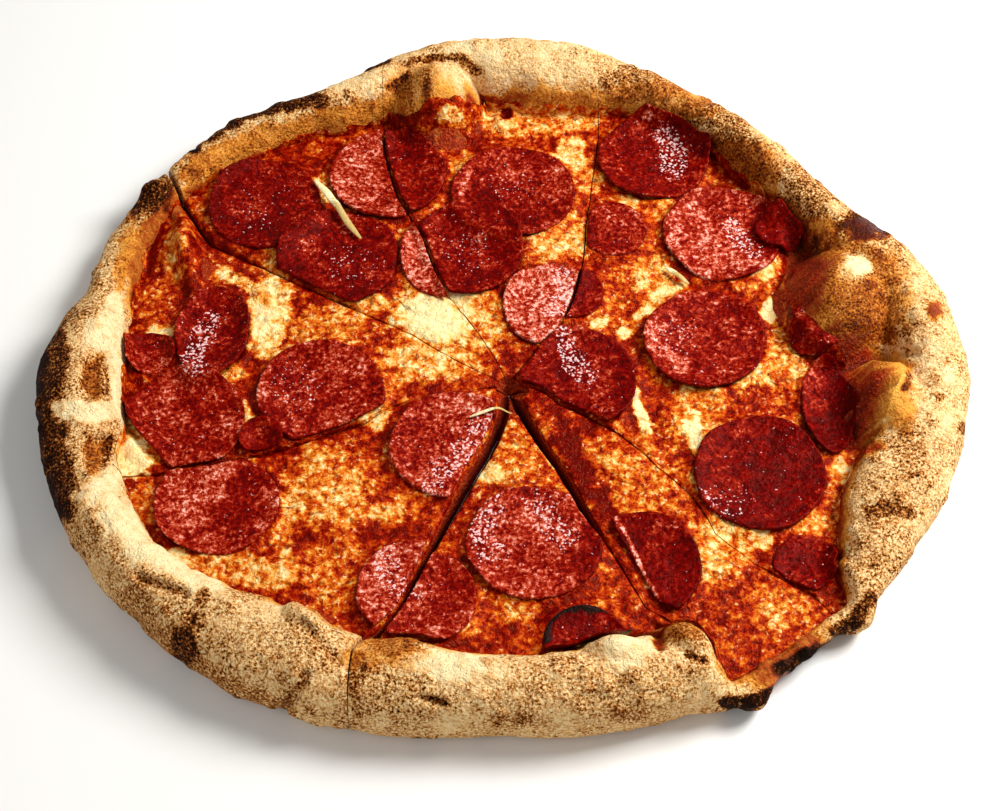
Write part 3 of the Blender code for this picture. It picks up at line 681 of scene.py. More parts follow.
# Where sauce and oil have soaked the crust: 0 none, 0.4 golden from oil, 1 red through.
stainMarks = {
    "backClear": (0.42, 0.9, 20, 124, 34, 13),
    "backRightGlaze": (0.38, 0.9, 62, 136, 24, 12),
    "backRightOliveGlaze": (0.4, 0.9, 90, 103, 15, 13),
    "bubbleGlaze": (0.42, 0.9, 124, 42, 21, 28),
    "bubbleClear": (0.0, 1.0, 127, 54, 6, 7),
    "backBubbleGlaze": (0.34, 0.9, -30, 142, 14, 15),
    "backLeftGlaze": (
        0.46, 0.9, [(-113, 99), (-106, 106), (-92, 115), (-75, 121), (-59, 127), (-42, 131)], 7.0,
    ),
    "foldGlaze": (0.5, 0.9, 134, -2, 7, 17),
    "foldPaleClear": (0.0, 1.0, [(122, 17), (129, 18), (135, 18), (141, 14)], 0.8),
    "knobGlaze": (0.4, 0.85, 57, -92, 9, 7),
    "frontCutGlaze": (0.36, 0.9, -36, -101, 12, 7),
    "leftInnerClear": (
        0.0, 0.95, [(-134, 30), (-130, 5), (-129, -20), (-127, -44), (-112, -60), (-94, -72)], 6.0,
    ),
    # Painted shade over a real sauce stain: deep maroon on the right fold's left flank.
    "rightFlankStainAndShade": (1.0, 0.98, 118.5, -1, 11.5, 27),
    "frontRightFlank": (0.8, 0.9, 85, -100, 17, 17),
    "leftBand": (0.46, 0.85, -134, 60, 3, 18),
    "leftBandRed": (0.7, 0.95, [(-118, 86), (-125, 74), (-128, 62), (-128, 50)], 4.0),
    # Painted shade over a real sauce stain: deep maroon on the big bubble's left flank.
    "bubbleFlankStainAndShade": (0.95, 0.95, 107, 48, 9, 15),
    "backHollow": (1.0, 0.95, -9, 135, 11, 5),
    "frontCreaseStain": (0.5, 0.8, -46, -104, 3, 4),
    "bubbleUnder": (0.55, 0.9, 126, 23, 12, 5),
    "bubbleOrange": (0.6, 0.9, 117, 69, 5, 8),
    "bubbleCrown": (0.75, 0.9, 131, 72, 8, 6),
    "bubbleRed": (0.8, 0.9, 152, 34, 3, 4),
    "knobCrease": (0.9, 0.9, [(49, -89), (49, -94), (50, -99)], 1.6),
    "hollowHigh": (0.36, 0.95, -139, 5, 4, 9, 10),
    "hollowLow": (0.36, 0.95, -134, -27, 4.5, 8),
}

# Where no sauce lies on the crust's swellings.
bareMarks = {
    "bigBubble": (1.0, 1.0, 128, 46, 26, 31),
    "bubbleCrease": (1.0, 1.0, [(122, 15), (130, 17), (142, 16)], 5.0),
    "backBubble": (1.0, 1.0, -25, 149, 20, 12),
    "backBubbleSide": (1.0, 1.0, -36, 139, 8, 11),
    "backBubbleRight": (1.0, 1.0, -6, 145, 12, 11),
    "rightFold": (1.0, 1.0, 129, -3, 13, 25),
    "leftRim": (1.0, 1.0, [(-137, -8), (-136, -20), (-137, -36)], 4.0),
    "frontKnob": (1.0, 1.0, 56, -99, 9, 6),
    "frontSwelling": (1.0, 1.0, 36, -101.5, 11, 6),
}
# Relief: how deep each dent or crease goes into the crust, in millimetres.
dentMarks = {
    "hollowLow": (-2.8, 1.0, -134, -27, 5, 9),
    "hollowHigh": (-2.2, 1.0, -140, 5, 4, 10),
    "hollowSlit": (-1.4, 1.0, [(-135, 9), (-133, 4), (-133, -2)], 1.2),
    "creaseOuter": (-2.0, 1.0, [(-115, -75), (-100, -81)], 1.8),
    "creaseLeft": (-1.6, 1.0, [(-67, -124), (-60, -110)], 1.8),
    "creaseUpper": (-1.2, 1.0, [(-62, -91), (-50, -106)], 1.5),
    "frontSlit": (-1.5, 1.0, [(-24, -118), (-18, -120)], 1.5),
    "bubbleCrease": (-1.2, 1.0, [(118, 12), (126, 15), (134, 16), (143, 15)], 2.0),
    "knobCrease": (-1.2, 1.0, [(49, -89), (49, -94), (50, -100)], 1.8),
}


def bareAt(x, y, z):
    sx, sy = seenPlace(x, y, z)
    return applyMarks(np.zeros_like(x), bareMarks, sx, sy, 0.6 * lumps(x, y, z, 6, 68))


crust = {
    "cutRows": (0, 0.3, 0.7, 1.2, 1.8),  # where its faces are finer beside a cut
    "evenFrom": 2.5,  # how far from a cut they are even
    "lumps": [(12.0, 0.45), (3.4, 0.14), (1.7, 0.1)],  # size, height
    "bake": 0.25,
    "bakeClouds": [(17, 0.11), (7, 0.07)],  # size, swing
    "bakeFlecks": [(4.5, 0.09), (2.0, 0.07)],  # the same, also where there are marks
    "blisters": 9,  # for each 10 mm of rim
    "blisterRadius": (1.0, 3.4),
    "blisterBias": 2.2,  # higher makes more of them small
    "blisterHeight": 0.22,  # share of its radius
    "blisterBake": (-0.08, 0.2),
    "rimFrom": 1.15,  # step from which it is rim and not floor
    "reliefEnds": (2.55, 3.0),  # steps between which the relief fades towards the table
    "lipEnds": (2.2, 3.0),  # and the rounding beside a cut
    "cutHold": 3.0,  # how far from a cut the relief moves points freely
    "bareHides": (0.45, 1.0),  # amounts of bare crust between which it has no stain
    "stainEnds": (1.05, 1.32),  # steps between which the sauce's stain fades
    "charHides": (0.85, 0.97),  # levels of bake between which char hides the stain
    "cutBake": (0.6, 0.35),  # on a cut face, by the floor and by the rim
    "cutStain": (0.9, 0.1),
    "cutDeepShade": 0.3,  # painted shade: how much darker the cut face gets towards the table, added to its bake
    "tipBake": 0.3,
    "tipStain": 0.9,
}


# Places of the crust's skin after relief, with its bake and stain.
def crustSkin(sliceName):
    first, last = sliceSpan(sliceName, outlineAt)
    length = math.radians(last - first) * outlineAt
    near = np.array(crust["cutRows"])
    even = crust["evenFrom"]
    middle = np.linspace(even, length - even, int((length - 2 * even) / dough["spacing"]))
    shares = np.concatenate([near, middle, length - near[::-1]]) / length
    steps = np.concatenate([
        np.linspace(0, 1, dough["flatRows"], endpoint=False),
        np.linspace(1, 2, dough["rimRows"], endpoint=False),
        np.linspace(2, 3, dough["tuckRows"] + 1),
    ])
    x, y, z, besideCut = sliceSurface(sliceName, shares, steps)
    columns = x.shape[1]
    step = np.repeat(steps[:, None], columns, axis=1)
    sx, sy = seenPlace(x, y, z)
    wobble = layered(x, y, z, [(5.5, 1.0), (2.3, 0.5)], 31)

    push = applyMarks(np.zeros_like(x), dentMarks, sx, sy, wobble * 0.3)
    push += layered(x, y, z, crust["lumps"], 41)
    bake = crust["bake"] + layered(x, y, z, crust["bakeClouds"], 51)
    bake = applyMarks(bake, crustMarks, sx, sy, wobble)
    bake += layered(x, y, z, crust["bakeFlecks"], 53)
    local = np.random.default_rng(100 + list(slices).index(sliceName))
    rimRows = np.nonzero(steps > crust["rimFrom"])[0]
    for _ in range(int(crust["blisters"] * length / 10)):
        j = local.choice(rimRows)
        i = local.integers(4, columns - 4)
        low, high = crust["blisterRadius"]
        radius = low + (high - low) * local.random() ** crust["blisterBias"]
        distance = np.sqrt((x - x[j, i])**2 + (y - y[j, i])**2 + (z - z[j, i])**2) / radius
        top = np.clip(1 - distance**2, 0, 1)
        push += crust["blisterHeight"] * radius * top**0.8
        bake += local.uniform(*crust["blisterBake"]) * smooth(0.0, 0.9, top)

    # Beside a cut the relief moves no point across it.
    fade = smooth(1.0, crust["rimFrom"], step) * (1 - smooth(*crust["reliefEnds"], step))
    move = outward(x, y, z) * (push * fade)[..., None]
    turn = np.radians(polar(x, y)[1])
    side = np.stack([-np.sin(turn), np.cos(turn), np.zeros_like(turn)], axis=-1)
    slide = (move * side).sum(axis=-1, keepdims=True)
    move -= side * slide * (1 - np.minimum(1, besideCut / crust["cutHold"]))[..., None]
    x, y, z = x + move[..., 0], y + move[..., 1], z + move[..., 2]
    lip = np.maximum(0, 1 - besideCut / dough["lip"])**2
    lip = lip * mix(*dough["lipDrop"], openCut(sliceName, polar(x, y)[0], shares))
    z = z - lip * (1 - smooth(*crust["lipEnds"], step))
    z[-1] = 0.0
    stain = 1 - smooth(*crust["stainEnds"], step + 0.07 * wobble)
    stain = stain * (1 - smooth(*crust["bareHides"], bareAt(x, y, z)))
    stain = applyMarks(stain, stainMarks, sx, sy, wobble)
    stain = stain * (1 - smooth(*crust["charHides"], bake))
    return x, y, z, bake, stain, shares, steps


def makeDough(sliceName, material):
    x, y, z, bake, stain, shares, steps = crustSkin(sliceName)
    rows, columns = x.shape
    points = [np.stack([x, y, z], axis=-1).reshape(-1, 3)]
    bakes, stains = [bake.ravel()], [stain.ravel()]
    polygons = [gridFaces(rows, columns)]
    wallRows = dough["wallRows"]
    onFloor = steps < crust["rimFrom"]
    loop = []
    count = rows * columns
    reach = polar(x[-1], y[-1])[0]

    # The two cut faces, from the skin down to the table.
    for column in (0, columns - 1):
        top = np.stack([x[:, column], y[:, column], z[:, column]], axis=-1)
        footRadius = np.minimum(polar(top[:, 0], top[:, 1])[0], reach[column])
        footRadius[0] = dough["tipFoot"]
        side = 0.0 if column == 0 else 1.0
        footAngle = angleAt(sliceName, footRadius, side, dough["footInset"], 0.0)
        foot = np.stack([*place(footRadius, footAngle), np.zeros(rows)], axis=-1)
        depth = np.linspace(0, 1, wallRows + 1)
        points.append(mix(top[None], foot[None], depth[:, None, None]).reshape(-1, 3))
        polygons.append(gridFaces(wallRows + 1, rows, count, flip=column == 0))
        # Painted shade: the cut faces get darker towards the table.
        cutBake = np.where(onFloor, *crust["cutBake"]) + crust["cutDeepShade"] * depth[:, None]
        bakes.append(cutBake.ravel())
        stains.append(np.tile(np.where(onFloor, *crust["cutStain"]), wallRows + 1))
        loop.append(count + wallRows * rows + np.arange(rows))
        count += (wallRows + 1) * rows

    # The tip, and the flat underside.
    tip = np.stack([x[0], y[0], z[0]], axis=-1)
    footAngle = angleAt(sliceName, dough["tipFoot"], shares, dough["footInset"], 0.0)
    tipFoot = np.stack([*place(dough["tipFoot"], footAngle), np.zeros(columns)], axis=-1)
    points.append(np.concatenate([tip, tipFoot]))
    polygons.append(gridFaces(2, columns, count, flip=True))
    bakes.append(np.full(2 * columns, crust["tipBake"]))
    stains.append(np.full(2 * columns, crust["tipStain"]))
    tipLoop = count + columns + np.arange(columns)
    lastRow = (rows - 1) * columns + np.arange(columns)
    under = np.concatenate([loop[0][:-1], lastRow, loop[1][-2::-1], tipLoop[-2:0:-1]])
    polygons.append(under[None, ::-1])
    obj = meshPiece(
        "crust_" + sliceName, np.concatenate(points), polygons,
        {"bake": np.concatenate(bakes), "stain": np.concatenate(stains)}, material,
    )
    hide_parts("dough_" + sliceName)
    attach(obj, "root")
    shown = steps > 1
    return x[shown], y[shown], z[shown]


# Sauce and the cheese melted into it. Levels of melt: 0 deep red sauce, 0.3 red-orange,
# 0.5 orange, 0.75 golden, 1 cream.

meltMarks = {
    "outerRedBackLeft": (0.25, 0.7, -88, 108, 14, 8),
    "betweenBackLeft": (0.7, 0.8, -65, 88, 6, 8),
    "whitePool": (0.97, 0.95, -20, 30, 19, 15),
    "whitePoolArm": (0.8, 0.8, -45, 35, 8, 5),
    "whitePoolLow": (0.78, 0.8, -22, 12, 18, 9),
    "besideBackLeft": (0.5, 0.7, -52, 112, 7, 8),
    "backLeftColumn": (0.65, 0.8, -15, 97, 4, 13),
    "backStipple": (0.7, 0.9, 14, 124, 26, 9),
    "backRing": (0.85, 0.9, -19, 125, 5, 6),
    "backRingHole": (0.3, 0.9, -18, 126, 2, 3),
    "backRed": (0.1, 0.85, -34, 124, 8, 6),
    "volcano": (0.78, 0.9, 3, 123, 5, 6),
    "volcanoHole": (-0.2, 0.9, 2, 126, 2.4, 2.4),
    "backPale": (0.9, 0.8, 27, 106, 6, 12),
    "backPaleLow": (0.75, 0.8, 33, 93, 4, 7),
    "backGolden": (0.72, 0.9, 21, 66, 13, 11),
    "backTip": (0.7, 0.8, -5, 25, 6, 14),
    "backRight": (0.6, 0.8, 28, 70, 5, 6),
    "rightRed": (0.4, 0.8, 50, 74, 10, 14),
    "rightPaleA": (0.8, 0.8, 47, 80, 4, 5),
    "rightPaleB": (0.75, 0.8, 60, 80, 5, 4),
    "rightGolden": (0.75, 0.85, 53, 48, 10, 9),
    "rightStripA": (0.85, 0.9, [(33, 25), (40, 31)], 2.2),
    "rightStripB": (0.92, 0.9, [(48, 30), (56, 39), (64, 44)], 2.2),
    "rightDotA": (0.9, 0.9, 43, 22, 3, 3),
    "rightDotB": (0.95, 0.9, 52, 32, 2.5, 2.5),
    "rightOrange": (0.42, 0.8, 40, 40, 8, 10),
    "cornerPale": (0.85, 0.9, 93, 55, 7, 7),
    "cornerStick": (1.0, 1.0, 94, 32, 3, 6),
    "besideBubble": (0.65, 0.8, 98, 13, 8, 13),
    "besideBubblePale": (0.85, 0.8, 102, 8, 4, 4),
    "rightMiddle": (0.9, 0.8, 86, 3, 9, 6),
    "rightLong": (0.75, 0.8, 67, -12, 9, 16),
    "rightLumps": (0.97, 0.9, 65, -18, 3.5, 6),
    "whiteStick": (1.0, 1.0, [(45, -3), (47, -10), (49, -21)], 1.8),
    # These two: painted shade over real sauce, deep red on the left flanks of the right fold and the big
    # bubble.
    "rightFlankRedAndShade": (0.05, 0.9, 116, -5, 11, 22),
    "bubbleFlankRedAndShade": (0.1, 0.9, 109, 40, 9, 20),
    "rightPaleC": (0.85, 0.9, 112, -34, 4, 6),
    "rightPaleD": (0.7, 0.8, 100, -55, 6, 6),
    "frontRightTip": (0.15, 0.9, [(8, 2), (20, -8), (35, -20)], 5.0),
    "frontRightMiddle": (0.58, 0.8, 42, -40, 20, 20),
    "frontRightSmooth": (0.5, 0.9, 63, -46, 3, 9),
    "frontRightPale": (0.85, 0.8, 72, -57, 6, 5),
    "frontRightPaleB": (0.9, 0.8, 84, -62, 4, 4),
    "frontRightGolden": (0.8, 0.8, 70, -67, 10, 12),
    "rightLowRed": (0.15, 0.8, 98, -71, 12, 9),
    "frontRightLobe": (0.34, 0.9, 86, -98, 17, 18),
    "frontTip": (0.55, 0.9, 6, -26, 14, 14),
    "frontTipPale": (0.9, 0.9, -4, -35, 5, 5),
    "frontTipRight": (0.9, 0.9, 18, -30, 3, 4),
    "frontRightSideRed": (0.25, 0.9, 33, -66, 8, 17),
    "frontColumn": (0.4, 0.8, -5, -68, 5, 17),
    "frontOrange": (0.6, 0.8, 5, -87, 7, 5),
    "frontOrangeLow": (0.35, 0.8, 42, -84, 6, 6),
    "frontLow": (0.5, 0.8, -8, -92, 8, 6),
    "frontLeftGolden": (0.66, 0.85, -55, -42, 15, 17),
    "frontLeftLow": (0.85, 0.8, -76, -76, 12, 5),
    "frontLeftOrange": (0.6, 0.8, -55, -75, 10, 14),
    "frontLeftInner": (0.8, 0.8, -36, -52, 7, 5),
    "frontLeftAmber": (0.62, 0.95, -116, -51, 6, 10),
    "frontLeftCorner": (1.0, 1.0, -104, -70, 4.5, 5),
    "frontLeftGoldenLow": (0.7, 0.9, -85, -74, 9, 5),
    "frontLeftBelow": (0.86, 0.65, [(-97, -72), (-88, -67), (-79, -71), (-70, -73)], 3.4),
    "frontLeftBeside": (0.85, 0.6, [(-71, -37), (-68, -49), (-71, -61), (-67, -72)], 2.6),
    "frontLeftKnob": (0.95, 0.9, -43, -13, 5, 5),
    "frontLeftRed": (0.3, 0.8, -32, -38, 6, 6),
    "leftPool": (0.92, 0.9, -80, 31, 8, 21),
    "leftPoolArm": (0.85, 0.9, [(-82, 38), (-98, 50)], 3.0),
    "leftBrowned": (0.6, 0.85, -60, 25, 15, 10),
    "leftTip": (0.75, 0.85, -27, 10, 15, 10),
    "leftBetween": (0.7, 0.8, -92, 3, 5, 6),
    "leftStreak": (0.85, 0.9, [(-87, -10), (-80, -24)], 2.2),
    "leftOuterRed": (0.36, 0.9, -122, 45, 9, 24),
    "leftOuter": (0.46, 0.9, -127, 66, 7, 15),
    "leftRidge": (0.62, 0.9, -116, 59, 4, 12),
    "leftRidgeLine": (-0.2, 1.0, [(-122, 72), (-124, 64), (-124, 56), (-124, 49)], 1.8),
    "leftLump": (0.92, 0.95, -117, 22, 5, 4),
    "leftCheese": (1.0, 1.0, -121, -30, 8, 9),
    "frontRightLobePale": (0.72, 0.85, 88, -88, 9, 8),
    "cutEdgeRed": (0.0, 0.95, [(21, -22), (28, -36), (33, -47), (37, -55)], 4.0),
    "cutBeside27": (0.25, 0.9, [(35, -60), (39, -72), (46, -84)], 5.0),
    "leftGold": (0.74, 0.95, -121, -17.5, 5, 4),
    "leftOlive": (0.64, 0.95, -114.5, -27, 3.5, 5),
    "leftEdge": (0.95, 1.0, [(-129, -14), (-128, -24), (-127, -34)], 2.5),
}

# Ridges and hollows in the sauce: how far each stands up, in millimetres.
sauceMarks = {
    "volcano": (1.5, 1.0, 3, 123, 5, 6),
    "volcanoHole": (-0.4, 1.0, 2, 126, 2, 2),
    "backRing": (1.1, 1.0, -19, 125, 5, 6),
    "backRingHole": (0.1, 1.0, -18, 126, 2, 3),
    "leftRidge": (1.2, 1.0, -117, 59, 4, 12),
    "leftRidgeLine": (-0.6, 1.0, [(-123, 72), (-125, 64), (-125, 56), (-125, 49)], 1.2),
}


melting = {
    "start": 0.28,
    "clouds": [(13, 0.24)],  # size, swing
    "flecks": [(6, 0.2), (3, 0.16)],  # the same, less where it is all cheese
}


def meltAt(x, y, z):
    sx, sy = seenPlace(x, y, z)
    wobble = layered(x, y, z, [(6.0, 1.0), (2.4, 0.6)], 61)
    melt = melting["start"] + layered(x, y, z, melting["clouds"], 63)
    melt = applyMarks(melt, meltMarks, sx, sy, wobble)
    calm = 1 - 0.75 * smooth(0.7, 0.95, melt)
    return np.clip(melt + calm * layered(x, y, z, melting["flecks"], 64), 0, 1)


# The sauce's top before the salami presses on it, as bands of ever more columns.
def sauceBands(sliceName):
    first, last = sliceSpan(sliceName, sauceAt, dough["inset"])
    columns = 4 * int(math.radians(last - first) * sauceAt / sauce["spacing"] / 4)
    tip = slices[sliceName][2]
    full, end = sauce["finestFrom"], sauce["rimFrom"]
    bands = []
    for coarse, start, stop in ((4, tip, full / 2), (2, full / 2, full), (1, full, end)):
        shares = np.linspace(0, 1, columns // coarse + 1)
        low, high = (start - tip) / (end - tip), (stop - tip) / (end - tip)
        steps = np.linspace(low, high, int((stop - start) / sauce["spacing"]), endpoint=False)
        if stop == end:
            climb = np.linspace(1, 1 + sauce["climb"], sauce["climbRows"])
            steps = np.concatenate([steps, climb])
        x, y, z, besideCut = sliceSurface(sliceName, shares, steps, dough["inset"])
        step = np.repeat(steps[:, None], len(shares), axis=1)
        melt = meltAt(x, y, z)
        radius = polar(x, y)[0]
        gap = np.maximum(openCut(sliceName, radius, shares), 1 - smooth(0, 4, radius - tip))
        edge = np.minimum(besideCut, radius - tip)

        # It fades, and dives under the crust, up the rim and where the crust is bare.
        fade = sauce["fadeFrom"] + layered(x, y, z, sauce["fadeWave"], 66)
        fade = smooth(*(fade + span for span in sauce["fadeSpan"]), step)
        fade = np.maximum(fade, smooth(0.05, 0.85, bareAt(x, y, z)))
        rough = 0.35 + 0.65 * smooth(0.3, 0.7, melt)
        for seed, (size, height) in enumerate(sauce["relief"]):
            z = z + height * rough * (1 - fade) * lumps(x, y, z, size, 71 + seed)
        sx, sy = seenPlace(x, y, z)
        stood = applyMarks(np.zeros_like(x), sauceMarks, sx, sy, 0.3 * lumps(x, y, z, 5, 69))
        thick = sauce["thickness"] + sauce["meltRise"] * melt + stood
        z = z + thick * (1 - fade)**1.5 - sauce["dive"] * fade**3
        z = np.maximum(z, sauce["underside"] + 0.2)
        z = z - mix(*sauce["cutDrop"], gap) * np.maximum(0, 1 - edge / sauce["lip"])**2
        melt = mix(melt, 0.5, 0.5 * smooth(1.0, 1.1, step))
        bands.append({"x": x, "y": y, "z": z, "melt": melt, "fade": fade})
    return bands


def makeSauce(sliceName, bands, material):
    points, polygons, melts, starts = [], [], [], []
    count = 0
    for band in bands:
        rows, columns = band["x"].shape
        high = band["z"] + bankAt(sliceName, band["x"], band["y"]) * (1 - band["fade"])
        points.append(np.stack([band["x"], band["y"], high], axis=-1).reshape(-1, 3))
        melts.append(band["melt"].ravel())
        polygons.append(gridFaces(rows, columns, count))
        starts.append(count)
        count += rows * columns
    left, right = [], []
    for k, band in enumerate(bands):
        rows, columns = band["x"].shape
        index = starts[k] + np.arange(rows * columns).reshape(rows, columns)
        left.append(index[:, 0])
        right.append(index[:, -1])
        if k + 1 < len(bands):
            below = index[-1]
            above = starts[k + 1] + np.arange(2 * columns - 1)
            polygons.append(np.stack([
                below[:-1], above[:-2:2], above[1:-1:2], above[2::2], below[1:],
            ], axis=1))
    top = index[-1]
    tipRow = np.arange(bands[0]["x"].shape[1])
    loop = np.concatenate([
        tipRow[:-1], np.concatenate(right)[:-1], top[:0:-1], np.concatenate(left)[:0:-1],
    ])
    every = np.concatenate(points)
    skirt = every[loop] * np.array([1, 1, 0]) + np.array([0, 0, sauce["underside"]])
    low = count + np.arange(len(loop))
    polygons.append(np.stack([loop, low, np.roll(low, -1), np.roll(loop, -1)], axis=1))
    polygons.append(low[None, :])
    melts.append(0.5 * np.concatenate(melts)[loop])
    obj = meshPiece(
        "sauce_cover_" + sliceName, np.concatenate([every, skirt]), polygons,
        {"melt": np.concatenate(melts)}, material,
    )
    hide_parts("sauce_" + sliceName)
    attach(obj, "root")


# Salami. Levels of its marks: 0 dark maroon, 0.5 red, 1 pink, 1.3 pale, a painted highlight where the fat
# shines.

salamiMarks = {
    "warm14": (0.5, 0.7, 33, -2, 5, 12),
    # Painted shade: dark on the curled-up right edge of salami_14.
    "shadedEdge14": (0.0, 0.9, 43, 5, 4, 16),
    "pink12": (1.05, 0.95, 10, 36, 11, 15),
    "warm23": (0.55, 0.8, -30, -22, 6, 14),
    "pink07": (1.1, 0.8, -28, 58, 6, 12),
    "dark26": (0.1, 0.9, 31, -68, 7, 16),
    # Painted highlights: pale pink lines along the lower-left edge of salami_15 and the left edge of
    # salami_10.
    "glintEdge15": (1.05, 0.9, [(52, 27), (54, 18), (62, 10)], 3.4),
    "glintEdge10": (1.15, 0.9, [(64, 72), (62, 62), (66, 53), (72, 50)], 2.6),
    "pink10": (1.0, 0.8, 78, 62, 10, 10),
    "dark10": (0.05, 0.9, 97, 72, 8, 12),
    "dark09": (0.1, 0.8, 53, 106, 8, 14),
    "edge09": (0.0, 0.9, 75, 114, 3, 8),
    # Painted highlight: a pale pink line along salami_19's left edge.
    "glintEdge19": (1.1, 0.9, [(-82, -5), (-82, 4), (-79, 10)], 1.8),
    "left21": (0.95, 0.8, -102, -46, 8, 12),
    "right21": (0.15, 0.8, -84, -46, 7, 13),
    "pink03": (1.0, 0.8, -54, 104, 8, 12),
    "spot05": (0.9, 0.8, 5, 97, 4, 4),
    # Painted highlights: pale pink lines along the left edge of salami_05 and the straight edge of
    # salami_27.
    "glintEdge05": (1.1, 0.9, [(-14, 86), (-13, 96), (-10, 103)], 1.6),
    "glintEdge27": (1.25, 1.0, [(38, -52), (42, -62), (46, -74), (51, -85)], 0.8),
    "char29": (-1.2, 1.0, [(13, -96), (14, -90), (20, -85), (26, -84), (34, -86), (40, -93)], 3.0),
    "top27": (0.55, 0.8, 56, -54, 9, 5),
    "low27": (0.0, 0.9, 58, -74, 9, 12),
    "glow29": (0.5, 0.8, 35, -92, 6, 5),
    "dark28": (-0.15, 0.85, 92, -34, 12, 18),
    # Painted shade and light: salami_31 dark on its shaded right side and pink on its lit left side.
    "shadedSide31": (-0.3, 0.95, 117, -2, 5, 20),
    "litSide31": (0.7, 0.85, 107, 6, 4, 9),
}

# Painted highlight: where small pale specks stand for oil glinting on it: 0 nowhere, 1 densely.
paintedGlintMarks = {
    "glint14": (1.0, 1.0, [(22, 23), (25, 13), (29, 5)], 4.1),
    "glint12": (1.0, 0.9, [(22, 50), (23, 42), (20, 34)], 4.4),
    "glint23": (1.0, 0.9, [(-6, -12), (-9, -22), (-20, -34), (-23, -40)], 4.4),
    "glint26a": (1.0, 0.9, [(-4, -46), (-6, -58), (-3, -66)], 5.1),
    "glint26b": (1.0, 0.8, [(12, -47), (17, -55), (20, -60)], 5.1),
    "glint10": (1.0, 0.9, [(84, 75), (86, 66), (90, 62)], 4.1),
    "glint09": (1.0, 1.0, [(62, 118), (65, 110), (64, 102)], 6.1),
    "glint17": (1.0, 1.0, [(-101, 30), (-104, 20), (-106, 9)], 4.8),
    "glint24": (1.0, 0.8, [(-38, -62), (-36, -72), (-30, -80)], 5.1),
    "glint28": (1.0, 0.9, [(69, -44), (74, -50)], 3.7),
    "shine28": (0.5, 0.8, 76, -46, 9, 8),
    "shine02": (0.45, 0.8, -52, 54, 10, 10),
    "shine01": (0.4, 0.8, -90, 80, 9, 10),
    "shine06": (0.5, 0.8, -12, 62, 10, 10),
    "shine15": (0.6, 0.8, 60, 22, 8, 10),
    "shine19": (0.55, 0.8, -70, 0, 9, 12),
    "shine05": (0.5, 0.8, 4, 94, 9, 8),
}


# Discs that aren't round: width as a share of the radius, and the turn of that width.
salamiShape = {
    "salami_17": (0.66, 0),
    "salami_31": (0.48, 0),
}
salamiInset = {"salami_27": 4.0}  # how far they stay back from a cut
salamiChord = {"salami_20": (221.6, 15.7)}  # a straight side: where it faces, how far out it is
salamiClimb = {"salami_29": 2.0}  # how far they reach up the rim


# How much sauce and cheese stand up round the edges of this slice's salami.
def bankAt(sliceName, x, y):
    bank = np.zeros_like(x)
    for name, (inSlice, cx, cy, disc, *_) in salami.items():
        if inSlice != sliceName:
            continue
        squash, turn = salamiShape.get(name, (1.0, 0))
        along, across = turned(x, y, cx, cy, turn)
        beyond = np.hypot(along / squash, across) - disc
        bank = np.maximum(bank, smooth(-2.6, -0.4, beyond) * (1 - smooth(0.3, 4.0, beyond)))
    return bank * (sauce["bank"] + sauce["bankSwing"] * lumps(x, y, np.zeros_like(x), 7, 97))


noHeight = -1000.0  # where nothing is laid


def newMap():
    return np.full(mapShape, noHeight)


# Writes a piece's points into a map and closes the small gaps between them.
def layInto(field, x, y, z):
    laid = newMap()
    np.maximum.at(laid, mapCells(x, y), z.ravel())
    around8 = spread(laid)
    laid = np.where(laid == noHeight, around8, laid)
    return np.maximum(field, laid)


# How far a disc or a pool reaches from its hub each way, up to its edge, a cut or the rim.
def discReach(sliceName, hub, turns, edgeShare, inset, clearance, reachMost):
    pitch = 0.25
    r = np.arange(pitch, reachMost, pitch)[:, None]
    px = hub[0] + r * np.cos(turns)
    py = hub[1] + r * np.sin(turns)
    radius, angle = polar(px, py)
    inside = (edgeShare(px, py) < 1) & insideSlice(sliceName, px, py, inset)
    inside &= radius < around(rimFoot, angle) - clearance
    count = np.where(inside.all(axis=0), len(r), np.argmin(inside, axis=0))
    return np.maximum(pitch * count, 2 * pitch)


# A closed round sheet about a hub, from rings of tops and undersides that meet at its edge.
def roundSheet(name, hub, tops, lows, attributes, material):
    topX, topY, topZ = tops
    lowX, lowY, lowZ = lows
    rings, segments = topX.shape
    lowRings = lowX.shape[0]
    wrap = np.roll(np.arange(segments), -1)

    def band(start, rows):
        index = start + np.arange(rows * segments).reshape(rows, segments)
        a, b = index[:-1], index[:-1][:, wrap]
        c, d = index[1:][:, wrap], index[1:]
        return np.stack([a.ravel(), b.ravel(), c.ravel(), d.ravel()], axis=1)

    points = np.concatenate([
        np.stack([topX, topY, topZ], axis=-1).reshape(-1, 3),
        np.stack([lowX, lowY, lowZ], axis=-1).reshape(-1, 3),
        [[hub[0], hub[1], topZ[0].mean()], [hub[0], hub[1], lowZ[0].mean()]],
    ])
    count = (rings + lowRings) * segments
    first = np.arange(segments)
    lowFirst = rings * segments + first
    polygons = [
        band(0, rings),
        band(rings * segments, lowRings),
        np.stack([np.full(segments, count), first, wrap], axis=1),
        np.stack([np.full(segments, count + 1), lowFirst, rings * segments + wrap], axis=1),
    ]
    whole = {}
    for key, values in attributes.items():
        low = np.broadcast_to(values[-1], (lowRings, segments))
        whole[key] = np.concatenate([values.ravel(), low.ravel(), [values[0].mean()] * 2])
    return meshPiece(name, points, polygons, whole, material, sharp=75)


